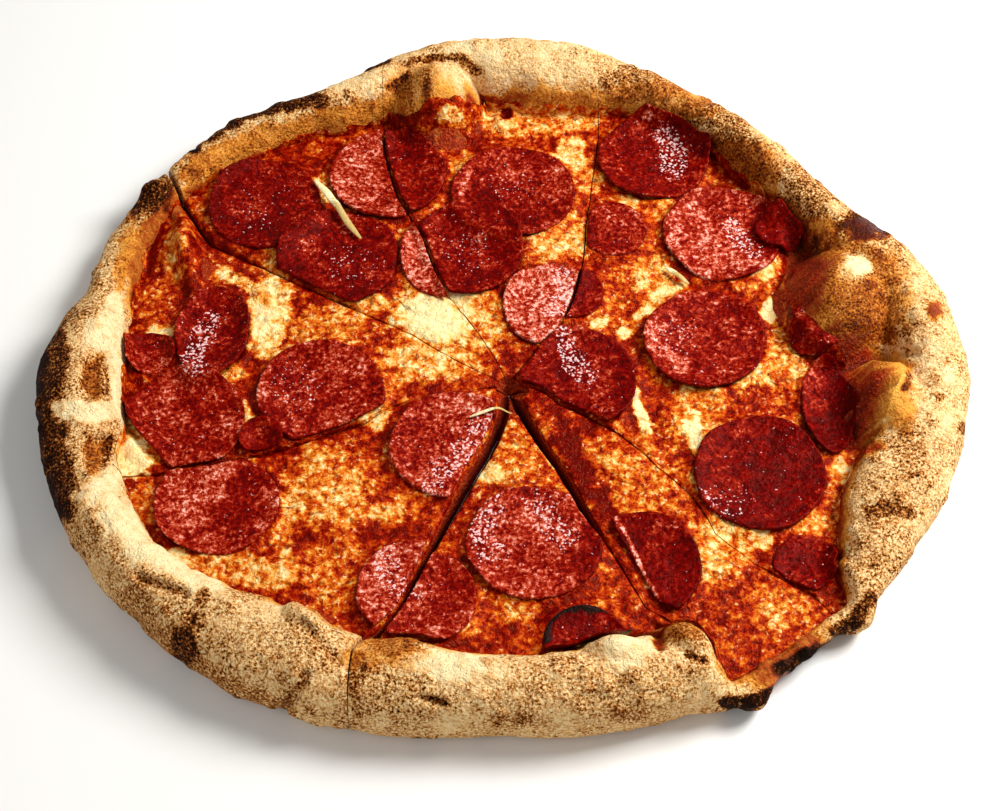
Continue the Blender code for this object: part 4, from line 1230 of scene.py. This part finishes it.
salamiLook = {
    "thickness": 1.9,
    "spacing": 0.75,
    "edge": 0.9,  # rounding of the edge
    "sink": 0.5,  # how far it settles into the sauce
    "cutInset": 0.4,  # how far it stays back from a cut
    "rimInset": 0.5,  # and from the rim
    "firstRing": 0.03,  # share of the way to its edge
    "edgeRings": (0, 0.12, 0.35, 0.7, 1.1),  # how far they lie inside its edge
    "evenTo": 1.8,
    "undersideRings": (0.3, 0.65),
    "undersideEdge": 0.8,
    "outline": [(2, 0.02, 1), (5, 0.012, 3)],  # waves round it, swing, shift
    "curlWaves": [(3, 0.35, 1), (5, 0.2, 2)],
    "sag": [(9, 0.35), (4.5, 0.2)],  # size, height
    "grain": [(2.4, 0.13), (1.3, 0.08)],
    "mottle": [(12, 0.45), (4.5, 0.35)],  # size, swing
    # painted highlight: the level of pale specks on every disc
    "shine": 0.05,
}


# Waves round a disc at these turns.
def wavesRound(turn, waves, phase):
    return sum(swing * np.sin(count * turn + shift * phase) for count, swing, shift in waves)


def makeSalami(name, support, material):
    sliceName, cx, cy, disc, curl, liftAngle, lift, hub, pink = salami[name]
    hub = hub or (cx, cy)
    number = list(salami).index(name)
    phase = np.random.default_rng(number + 50).uniform(0, math.tau)
    squash, squashTurn = salamiShape.get(name, (1.0, 0))
    facing, chordOut = salamiChord.get(name, (0.0, 2 * disc))

    def edgeShare(px, py):
        along, across = turned(px, py, cx, cy, squashTurn)
        along, across = along / (disc * squash), across / disc
        wave = wavesRound(np.arctan2(across, along), salamiLook["outline"], phase)
        chordShare = turned(px, py, cx, cy, facing)[0] / chordOut
        return np.maximum(np.hypot(along, across) / (1 + wave), chordShare)

    turns = around360(math.tau * disc / salamiLook["spacing"])
    clearance = salamiLook["rimInset"] - salamiClimb.get(name, 0.0)
    inset = salamiInset.get(name, salamiLook["cutInset"])
    reach = discReach(sliceName, hub, turns, edgeShare, inset, clearance, 2.2 * disc)
    evenTo = 1 - salamiLook["evenTo"] / disc
    inner = np.linspace(salamiLook["firstRing"], evenTo, int(disc / salamiLook["spacing"]))
    edge = np.array(salamiLook["edgeRings"]) / disc
    fractions = np.concatenate([inner, 1 - edge[::-1]])
    lowFractions = np.array([*salamiLook["undersideRings"], 1 - salamiLook["undersideEdge"] / disc, 1.0])
    rest = blurred(spread(support), 5)

    # The disc's middle surface, laid on what is under it and curled at its edge.
    def skin(fraction):
        r = fraction[:, None] * reach
        px = hub[0] + r * np.cos(turns)
        py = hub[1] + r * np.sin(turns)
        turn = np.arctan2(py - cy, px - cx)
        out = np.minimum(1, edgeShare(px, py))
        wave = 1 + wavesRound(turn, salamiLook["curlWaves"], phase)
        towards = np.maximum(0, out * np.cos(turn - math.radians(liftAngle)))
        low = readMap(rest, px, py) - salamiLook["sink"]
        low = low + curl * out**3 * wave + lift * towards**2
        low = low + plainLumps(px, py, salamiLook["sag"], (80 + number, 20))
        inward = (1 - fraction[:, None]) * reach
        share = np.clip(inward / salamiLook["edge"], 0, 1)
        half = salamiLook["thickness"] / 2 * np.sqrt(1 - (1 - share)**2)
        return px, py, low + salamiLook["thickness"] / 2, half, out

    px, py, middle, half, out = skin(fractions)
    flat = np.zeros_like(px)
    top = middle + half + layered(px, py, flat, salamiLook["grain"], 21) * np.minimum(1, half)
    lowX, lowY, lowMiddle, lowHalf, _ = skin(lowFractions)
    low = lowMiddle - lowHalf
    top[-1] = low[-1]
    sx, sy = seenPlace(px, py, top)
    wobble = layered(px, py, flat, [(5, 1.0), (2.2, 0.6)], 23)
    warm = pink + plainLumps(px, py, salamiLook["mottle"], (25 + number, 26))
    warm = applyMarks(warm, salamiMarks, sx, sy, wobble)
    # Painted highlight: pale specks where oil would glint.
    shine = applyMarks(np.full_like(px, salamiLook["shine"]), paintedGlintMarks, sx, sy, wobble)
    obj = roundSheet(
        "slice_" + name, hub, (px, py, top), (lowX, lowY, low),
        {"warm": warm, "out": out, "shine": shine}, material,
    )
    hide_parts(name)
    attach(obj, "root")
    return px, py, top


cheeseLook = {
    "spacing": 0.8,  # along its edge
    "ringSpacing": 0.7,
    "cutInset": 0.5,  # how far it stays back from a cut
    "rimInset": 1.0,  # and from the rim
    "outline": [(8, 0.4), (3.5, 0.25)],  # size, swing
    "bumps": [(5, 0.3), (2.5, 0.22), (1.3, 0.1)],  # size, height
    "edgeDepth": 0.7,  # how far its edge lies in the sauce
    "rise": (0.5, 0.62),  # millimetres, and share of its thickness
    "underside": [(0.5, 2.2), (1.0, 0.9)],  # share of the way out, depth
    "middleMelt": 0.12,
}


def makeCheese(name, support, material):
    sliceName, cx, cy, halfWidth, halfDepth, turn, thick = cheese[name]
    number = list(cheese).index(name)

    def edgeShare(px, py):
        along, across = turned(px, py, cx, cy, turn)
        rough = plainLumps(px, py, cheeseLook["outline"], (90 + number, 91))
        return np.hypot(along / halfWidth, across / halfDepth) / (1 + rough)

    most = max(halfWidth, halfDepth)
    turns = around360(math.tau * most / cheeseLook["spacing"])
    reach = discReach(
        sliceName, (cx, cy), turns, edgeShare, cheeseLook["cutInset"], cheeseLook["rimInset"], 1.8 * most,
    )
    fractions = np.linspace(0.03, 1, int(most / cheeseLook["ringSpacing"]))
    r = fractions[:, None] * reach
    px = cx + r * np.cos(turns)
    py = cy + r * np.sin(turns)
    out = np.broadcast_to(fractions[:, None], px.shape)
    dome = np.sqrt(np.maximum(0, 1 - out**3))
    rise = cheeseLook["rise"][0] + cheeseLook["rise"][1] * thick
    bumps = layered(px, py, np.zeros_like(px), cheeseLook["bumps"], 92)
    top = readMap(support, px, py) - cheeseLook["edgeDepth"] + rise * dome + bumps * dome
    lowFractions, depths = (np.array(column)[:, None] for column in zip(*cheeseLook["underside"]))
    lowX = cx + lowFractions * reach * np.cos(turns)
    lowY = cy + lowFractions * reach * np.sin(turns)
    low = readMap(support, lowX, lowY) - depths
    banked = top + bankAt(sliceName, px, py)
    top[-1] = low[-1]
    banked[-1] = low[-1]
    melt = meltAt(px, py, top) + cheeseLook["middleMelt"] * (1 - out)
    obj = roundSheet(
        "melted_" + name, (cx, cy), (px, py, banked), (lowX, lowY, low), {"melt": melt}, material,
    )
    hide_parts(name)
    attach(obj, "root")
    return px, py, top


herbLook = {
    "spacing": 0.7,
    "segments": 14,
    "lift": 0.7,  # how high its middle lies, as a share of its half width
    "arch": 0.9,  # how much higher its middle stands than its ends
    "thin": 0.45,  # thickness as a share of its width
    "leastWidth": 0.12,  # at its ends, as a share of its widest
}


def makeHerb(name, support, material):
    route = np.array(herbs[name]["route"], float)
    half = herbs[name]["half"]
    distance = np.concatenate([[0], np.cumsum(np.hypot(*np.diff(route, axis=0).T))])
    along = np.linspace(0, distance[-1], int(distance[-1] / herbLook["spacing"]))
    x = np.interp(along, distance, route[:, 0])
    y = np.interp(along, distance, route[:, 1])
    share = along / along[-1]
    for _ in range(6):  # rounds the route's corners
        x[1:-1] = (x[:-2] + x[2:]) / 2
        y[1:-1] = (y[:-2] + y[2:]) / 2
    z = readMap(blurred(spread(support), 2), x, y) + half * herbLook["lift"]
    z += herbLook["arch"] * np.sin(np.pi * share)
    dx, dy = np.gradient(x), np.gradient(y)
    length = np.hypot(dx, dy)
    taper = np.sin(np.pi * np.clip(share * 0.86 + 0.1, 0, 1))
    width = half * np.maximum(herbLook["leastWidth"], taper)**0.7
    segments = herbLook["segments"]
    turn = around360(segments)
    across = width[:, None] * np.cos(turn) * (1 + 0.15 * np.sin(9 * share)[:, None])
    px = x[:, None] - (dy / length)[:, None] * across
    py = y[:, None] + (dx / length)[:, None] * across
    pz = z[:, None] + width[:, None] * np.sin(turn) * herbLook["thin"]
    rows = len(x)
    index = np.arange(rows * segments).reshape(rows, segments)
    wrapped = np.roll(index, -1, axis=1)
    faces = np.stack([
        index[:-1].ravel(), wrapped[:-1].ravel(), wrapped[1:].ravel(), index[1:].ravel(),
    ], axis=1)
    points = np.stack([px, py, pz], axis=-1).reshape(-1, 3)
    obj = meshPiece(
        "sliver_" + name, points, [faces, index[0][None, :], index[-1][None, :]],
        {"tint": np.repeat(share, segments)}, material,
    )
    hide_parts(name)
    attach(obj, "root")


# Materials, all from nodes, placed by the object's own coordinates in metres.

def tone(red, green, blue):
    linear = [((v / 255 + 0.055) / 1.055)**2.4 if v > 10 else v / 255 / 12.92 for v in (red, green, blue)]
    return (*linear, 1.0)


def newMaterial(name, look):
    material = bpy.data.materials.new(name)
    material.use_nodes = True
    tree = material.node_tree
    tree.nodes.clear()
    output = tree.nodes.new("ShaderNodeOutputMaterial")
    surface = tree.nodes.new("ShaderNodeBsdfPrincipled")
    tree.links.new(surface.outputs["BSDF"], output.inputs["Surface"])
    for socket, value in look["surface"].items():
        surface.inputs[socket].default_value = value
    coordinates = tree.nodes.new("ShaderNodeTexCoord")
    return material, tree, surface, coordinates.outputs["Object"]


def plug(tree, socket, value):
    if isinstance(value, bpy.types.NodeSocket):
        tree.links.new(value, socket)
    else:
        socket.default_value = value


def maths(tree, operation, a, b=0.0, c=0.0):
    node = tree.nodes.new("ShaderNodeMath")
    node.operation = operation
    plug(tree, node.inputs[0], a)
    plug(tree, node.inputs[1], b)
    if operation == "MULTIPLY_ADD":
        plug(tree, node.inputs[2], c)
    return node.outputs[0]


# A noise's swing about its middle, times an amount, added to a value.
def swung(tree, grain, amount, value):
    return maths(tree, "MULTIPLY_ADD", maths(tree, "SUBTRACT", grain, 0.5), amount, value)


def noiseNode(tree, place, scale, detail=2.0, roughness=0.5, distortion=0.0):
    node = tree.nodes.new("ShaderNodeTexNoise")
    plug(tree, node.inputs["Vector"], place)
    node.inputs["Scale"].default_value = scale
    node.inputs["Detail"].default_value = detail
    node.inputs["Roughness"].default_value = roughness
    node.inputs["Distortion"].default_value = distortion
    return node.outputs["Fac"]


def cellNode(tree, place, scale):
    node = tree.nodes.new("ShaderNodeTexVoronoi")
    plug(tree, node.inputs["Vector"], place)
    node.inputs["Scale"].default_value = scale
    return node.outputs["Distance"]


def attributeNode(tree, name):
    node = tree.nodes.new("ShaderNodeAttribute")
    node.attribute_name = name
    return node.outputs["Fac"]


def ramp(tree, value, stops):
    node = tree.nodes.new("ShaderNodeValToRGB")
    plug(tree, node.inputs[0], value)
    points = node.color_ramp.elements
    while len(points) < len(stops):
        points.new(0.5)
    for point, (position, colour) in zip(points, stops):
        point.position = position
        point.color = tone(*colour)
    return node.outputs["Color"]


def mixColour(tree, share, a, b, blend="MIX"):
    node = tree.nodes.new("ShaderNodeMix")
    node.data_type = "RGBA"
    node.blend_type = blend
    plug(tree, node.inputs[0], share)
    plug(tree, node.inputs[6], a)
    plug(tree, node.inputs[7], b)
    return node.outputs[2]


def spanOf(tree, value, low, high, toLow=0.0, toHigh=1.0):
    node = tree.nodes.new("ShaderNodeMapRange")
    plug(tree, node.inputs[0], value)
    for socket, setting in zip(node.inputs[1:5], (low, high, toLow, toHigh)):
        socket.default_value = setting
    return node.outputs[0]


# Lays bumps, each a height and its depth in metres, one on another.
def plugBumps(tree, surface, bumps):
    below = None
    for height, depth in bumps:
        node = tree.nodes.new("ShaderNodeBump")
        node.inputs["Strength"].default_value = 1.0
        node.inputs["Distance"].default_value = depth
        plug(tree, node.inputs["Height"], height)
        if below:
            plug(tree, node.inputs["Normal"], below)
        below = node.outputs["Normal"]
    plug(tree, surface.inputs["Normal"], below)


# In these dictionaries a noise is its scale, detail, roughness and distortion, and a span says
# from which value to which it goes, and from which result to which (or 0 to 1).

crustTones = {
    "fine": (1150, 2, 0.7),
    "coarse": (320, 3, 0.65),
    "wide": (60, 2, 0.5),
    "bumpDepths": (0.0009, 0.0016),  # fine, coarse
    "dryByStain": (0.15, 0.4, 1.0, 0.55),
    "specksByBake": (0.05, 0.35, 0.1, 2.3),
    "broadSwing": 0.18,
    "bake": [
        (0.0, (248, 222, 168)),
        (0.18, (234, 186, 123)),
        (0.36, (196, 136, 72)),
        (0.52, (156, 90, 32)),
        (0.66, (106, 48, 10)),
        (0.8, (60, 22, 4)),
        (1.0, (22, 10, 6)),
    ],
    "dotsByBake": (0.08, 0.3),
    "dotsByPatch": (0.4, 0.6, 0.4, 1.0),
    "dotsByGrain": (0.56, 0.64),
    "dotShade": (0.17, 0.09, 0.045, 1.0),
    "soakSwing": 0.5,
    "oilBySoak": (0.02, 0.4),
    "oilShade": (0.92, 0.6, 0.18, 1.0),
    "redBySoak": (0.5, 0.85),
    "red": [(0.3, (90, 6, 0)), (0.55, (155, 38, 6)), (0.72, (195, 85, 28))],
    "deepByBake": (0.55, 0.8),
    "deepRed": (72, 3, 0),
    "roughnessByStain": (0.2, 0.4, 0.8, 0.42),
    "shineByStain": (0.2, 0.4, 0.06, 0.16),
    "surface": {
        "Specular Tint": (1.0, 0.7, 0.45, 1.0),
        "Subsurface Weight": 0.08,
        "Subsurface Radius": (1.0, 0.5, 0.25),
        "Subsurface Scale": 0.0015,
    },
}


def makeCrustMaterial():
    look = crustTones
    material, tree, surface, at = newMaterial("crust", look)
    fine = noiseNode(tree, at, *look["fine"])
    coarse = noiseNode(tree, at, *look["coarse"])
    wide = noiseNode(tree, at, *look["wide"])
    bake = attributeNode(tree, "bake")
    stain = attributeNode(tree, "stain")
    dry = spanOf(tree, stain, *look["dryByStain"])
    specks = maths(tree, "MULTIPLY", spanOf(tree, bake, *look["specksByBake"]), dry)
    patches = spanOf(tree, wide, *look["dotsByPatch"])
    dots = maths(tree, "MULTIPLY", spanOf(tree, bake, *look["dotsByBake"]), patches)
    dots = maths(tree, "MULTIPLY", dots, dry)
    dots = maths(tree, "MULTIPLY", spanOf(tree, fine, *look["dotsByGrain"]), dots)
    deep = spanOf(tree, bake, *look["deepByBake"])
    bake = swung(tree, coarse, look["broadSwing"], bake)
    bake = swung(tree, fine, specks, bake)
    colour = ramp(tree, bake, look["bake"])
    colour = mixColour(tree, dots, colour, look["dotShade"], "MULTIPLY")
    soak = swung(tree, coarse, look["soakSwing"], stain)
    colour = mixColour(tree, spanOf(tree, soak, *look["oilBySoak"]), colour, look["oilShade"], "MULTIPLY")
    red = mixColour(tree, deep, ramp(tree, fine, look["red"]), tone(*look["deepRed"]))
    colour = mixColour(tree, spanOf(tree, soak, *look["redBySoak"]), colour, red)
    plug(tree, surface.inputs["Base Color"], colour)
    plug(tree, surface.inputs["Roughness"], spanOf(tree, stain, *look["roughnessByStain"]))
    plug(tree, surface.inputs["Specular IOR Level"], spanOf(tree, stain, *look["shineByStain"]))
    plugBumps(tree, surface, zip((fine, coarse), look["bumpDepths"]))
    return material


sauceTones = {
    "coarse": (250, 3, 0.65, 0.8),
    "fine": (850, 2, 0.65, 0.4),
    "curdScale": 360,
    "bits": (620, 1, 0.5),
    "toast": (420, 1, 0.5),
    "bumpDepths": (0.0006, 0.0012),  # fine, coarse
    "swingByMelt": (0.75, 1.0, 1.0, 0.3),  # less where the cheese is whole
    "swingBySauce": (0.0, 0.35, 0.5, 1.0),  # and where it is plain sauce
    "coarseSwing": 0.8,
    "fineSwing": 1.1,
    "curdSwing": 0.6,
    "curdEdge": 0.42,
    "melt": [
        (0.0, (94, 0, 0)),
        (0.16, (134, 12, 0)),
        (0.3, (170, 40, 2)),
        (0.46, (196, 80, 8)),
        (0.6, (218, 122, 28)),
        (0.75, (236, 165, 74)),
        (0.88, (244, 204, 130)),
        (1.0, (250, 228, 165)),
    ],
    "bitsByGrain": (0.63, 0.69),
    "bitsByMelt": (0.25, 0.5, 0.0, 0.75),
    "bitColour": (250, 206, 140),
    "toastByGrain": (0.61, 0.68, 0.0, 0.7),
    "toastColour": (112, 16, 0),
    "roughnessByMelt": (0.2, 0.9, 0.26, 0.42),
    "surface": {
        "Specular IOR Level": 0.15,
        "Specular Tint": (1.0, 0.42, 0.14, 1.0),
        "Subsurface Weight": 0.12,
        "Subsurface Radius": (1.0, 0.3, 0.08),
        "Subsurface Scale": 0.0013,
    },
}


def makeSauceMaterial():
    look = sauceTones
    material, tree, surface, at = newMaterial("sauceAndCheese", look)
    coarse = noiseNode(tree, at, *look["coarse"])
    fine = noiseNode(tree, at, *look["fine"])
    melt = attributeNode(tree, "melt")
    restless = spanOf(tree, melt, *look["swingBySauce"])
    restless = maths(tree, "MULTIPLY", spanOf(tree, melt, *look["swingByMelt"]), restless)
    curds = maths(tree, "SUBTRACT", look["curdEdge"], cellNode(tree, at, look["curdScale"]))
    swing = maths(tree, "MULTIPLY", curds, look["curdSwing"])
    swing = swung(tree, coarse, look["coarseSwing"], swing)
    swing = swung(tree, fine, look["fineSwing"], swing)
    melt = maths(tree, "MULTIPLY_ADD", swing, restless, melt)
    colour = ramp(tree, melt, look["melt"])
    bits = spanOf(tree, noiseNode(tree, at, *look["bits"]), *look["bitsByGrain"])
    bits = maths(tree, "MULTIPLY", bits, spanOf(tree, melt, *look["bitsByMelt"]))
    colour = mixColour(tree, bits, colour, tone(*look["bitColour"]))
    toast = spanOf(tree, noiseNode(tree, at, *look["toast"]), *look["toastByGrain"])
    toast = maths(tree, "MULTIPLY", toast, restless)
    colour = mixColour(tree, toast, colour, tone(*look["toastColour"]))
    plug(tree, surface.inputs["Base Color"], colour)
    plug(tree, surface.inputs["Roughness"], spanOf(tree, melt, *look["roughnessByMelt"]))
    plugBumps(tree, surface, zip((fine, coarse), look["bumpDepths"]))
    return material


salamiTones = {
    "grain": (700, 3, 0.65, 0.3),
    "patch": (300, 2, 0.5),
    "specks": (1000, 1, 0.5),
    "bumpDepths": (0.0007, 0.0008),  # grain, patch
    "warmShare": 0.42,
    "level": 0.23,
    "grainByWarm": (0.0, 0.4, 1.1, 2.0),
    "patchSwing": 0.7,
    "meat": [
        (0.04, (70, 0, 0)),
        (0.28, (104, 0, 0)),
        (0.44, (130, 8, 0)),
        (0.6, (158, 40, 12)),
        (0.77, (200, 90, 62)),
        (1.0, (244, 186, 168)),
    ],
    # painted highlight: pale specks that stand for oil glints
    "glintSpeckGain": 0.22,
    "glintSpeckSpan": (0.75, 0.82, 0.0, 0.85),
    "glintSpeckColour": (250, 205, 200),
    "rimSpan": (0.95, 1.0, 0.0, 0.3),
    "rimColour": (92, 6, 2),
    "burntSwing": 0.8,
    "burntByWarm": (-0.75, -0.5, 1.0, 0.0),
    "burntColour": (24, 16, 14),
    "surface": {
        "Roughness": 0.34,
        "Specular IOR Level": 0.1,
        "Specular Tint": (1.0, 0.3, 0.2, 1.0),
        "Subsurface Weight": 0.08,
        "Subsurface Radius": (1.0, 0.2, 0.12),
        "Subsurface Scale": 0.0009,
    },
}


def makeSalamiMaterial():
    look = salamiTones
    material, tree, surface, at = newMaterial("salami", look)
    warm = attributeNode(tree, "warm")
    grain = noiseNode(tree, at, *look["grain"])
    patch = noiseNode(tree, at, *look["patch"])
    level = maths(tree, "MULTIPLY_ADD", warm, look["warmShare"], look["level"])
    level = swung(tree, grain, spanOf(tree, warm, *look["grainByWarm"]), level)
    level = swung(tree, patch, look["patchSwing"], level)
    colour = ramp(tree, level, look["meat"])
    # Painted highlight: pale specks mixed in where oil would glint.
    specks = noiseNode(tree, at, *look["specks"])
    specks = maths(tree, "MULTIPLY_ADD", attributeNode(tree, "shine"), look["glintSpeckGain"], specks)
    specks = spanOf(tree, specks, *look["glintSpeckSpan"])
    colour = mixColour(tree, specks, colour, tone(*look["glintSpeckColour"]))
    rim = spanOf(tree, attributeNode(tree, "out"), *look["rimSpan"])
    colour = mixColour(tree, rim, colour, tone(*look["rimColour"]))
    burnt = spanOf(tree, swung(tree, grain, look["burntSwing"], warm), *look["burntByWarm"])
    colour = mixColour(tree, burnt, colour, tone(*look["burntColour"]))
    plug(tree, surface.inputs["Base Color"], colour)
    plugBumps(tree, surface, zip((grain, patch), look["bumpDepths"]))
    return material


herbTones = {
    "patch": (500, 2),
    "grain": (900, 2),
    "bumpDepth": 0.0003,
    "tint": [(0.4, (228, 205, 140)), (0.9, (245, 232, 180)), (1.0, (190, 160, 90))],
    "surface": {"Roughness": 0.5},
}


def makeHerbMaterial():
    look = herbTones
    material, tree, surface, at = newMaterial("herb", look)
    tint = maths(tree, "ADD", attributeNode(tree, "tint"), noiseNode(tree, at, *look["patch"]))
    plug(tree, surface.inputs["Base Color"], ramp(tree, tint, look["tint"]))
    plugBumps(tree, surface, [(noiseNode(tree, at, *look["grain"]), look["bumpDepth"])])
    return material


crustMaterial = makeCrustMaterial()
sauceMaterial = makeSauceMaterial()
salamiMaterial = makeSalamiMaterial()
herbMaterial = makeHerbMaterial()

support = newMap()
for sliceName in slices:
    crustX, crustY, crustZ = makeDough(sliceName, crustMaterial)
    support = layInto(support, crustX, crustY, crustZ)
print("crust laid")

sauceLayers = {sliceName: sauceBands(sliceName) for sliceName in slices}
for bands in sauceLayers.values():
    for band in bands:
        support = layInto(support, band["x"], band["y"], band["z"])
support = np.maximum(support, 0)
underSalami = support.copy()
print("sauce shaped")

for cheeseName in cheese:
    support = layInto(support, *makeCheese(cheeseName, underSalami, sauceMaterial))
print("cheese laid")

for salamiName in salami:
    support = layInto(support, *makeSalami(salamiName, support, salamiMaterial))
print("salami laid")

for sliceName, bands in sauceLayers.items():
    makeSauce(sliceName, bands, sauceMaterial)
for herbName in herbs:
    makeHerb(herbName, support, herbMaterial)
print("sauce and herbs laid")


# Floor, light and camera.

floorTones = {"surface": {"Base Color": tone(235, 233, 228), "Roughness": 0.8}}
lights = {
    "key": {"at": (0.62, 0.22, 0.66), "size": 0.42, "power": 14.5},
    "fill": {"at": (-0.5, -0.6, 0.7), "size": 0.9, "power": 2.5},
}
worldLight = 0.28


def makeStage():
    bpy.ops.mesh.primitive_plane_add(size=4.0, location=(0, 0, -0.0002))
    floor = bpy.context.object
    floor.name = "floor"
    floor.data.materials.append(newMaterial("floor", floorTones)[0])
    for name, light in lights.items():
        data = bpy.data.lights.new(name, "AREA")
        data.size = light["size"]
        data.energy = light["power"]
        obj = bpy.data.objects.new(name, data)
        obj.location = light["at"]
        obj.rotation_euler = (-obj.location).to_track_quat("-Z", "Y").to_euler()
        bpy.context.scene.collection.objects.link(obj)
    world = bpy.data.worlds.new("studio")
    world.use_nodes = True
    world.node_tree.nodes["Background"].inputs["Color"].default_value = (1, 1, 1, 1)
    world.node_tree.nodes["Background"].inputs["Strength"].default_value = worldLight
    bpy.context.scene.world = world


def makeCamera():
    data = bpy.data.cameras.new("camera")
    data.lens = camera["lens"]
    data.sensor_width = 36.0
    obj = bpy.data.objects.new("camera", data)
    rise = math.radians(camera["elevation"])
    far = camera["distance"] * mm
    aimX, aimY = (a - o for a, o in zip(camera["aim"], planOrigin))
    obj.location = (aimX * mm, aimY * mm - far * math.cos(rise), far * math.sin(rise))
    obj.rotation_euler = (math.pi / 2 - rise, 0, 0)
    bpy.context.scene.collection.objects.link(obj)
    bpy.context.scene.camera = obj


makeStage()
makeCamera()
bpy.context.scene.view_settings.view_transform = "Standard"
print("stage set")
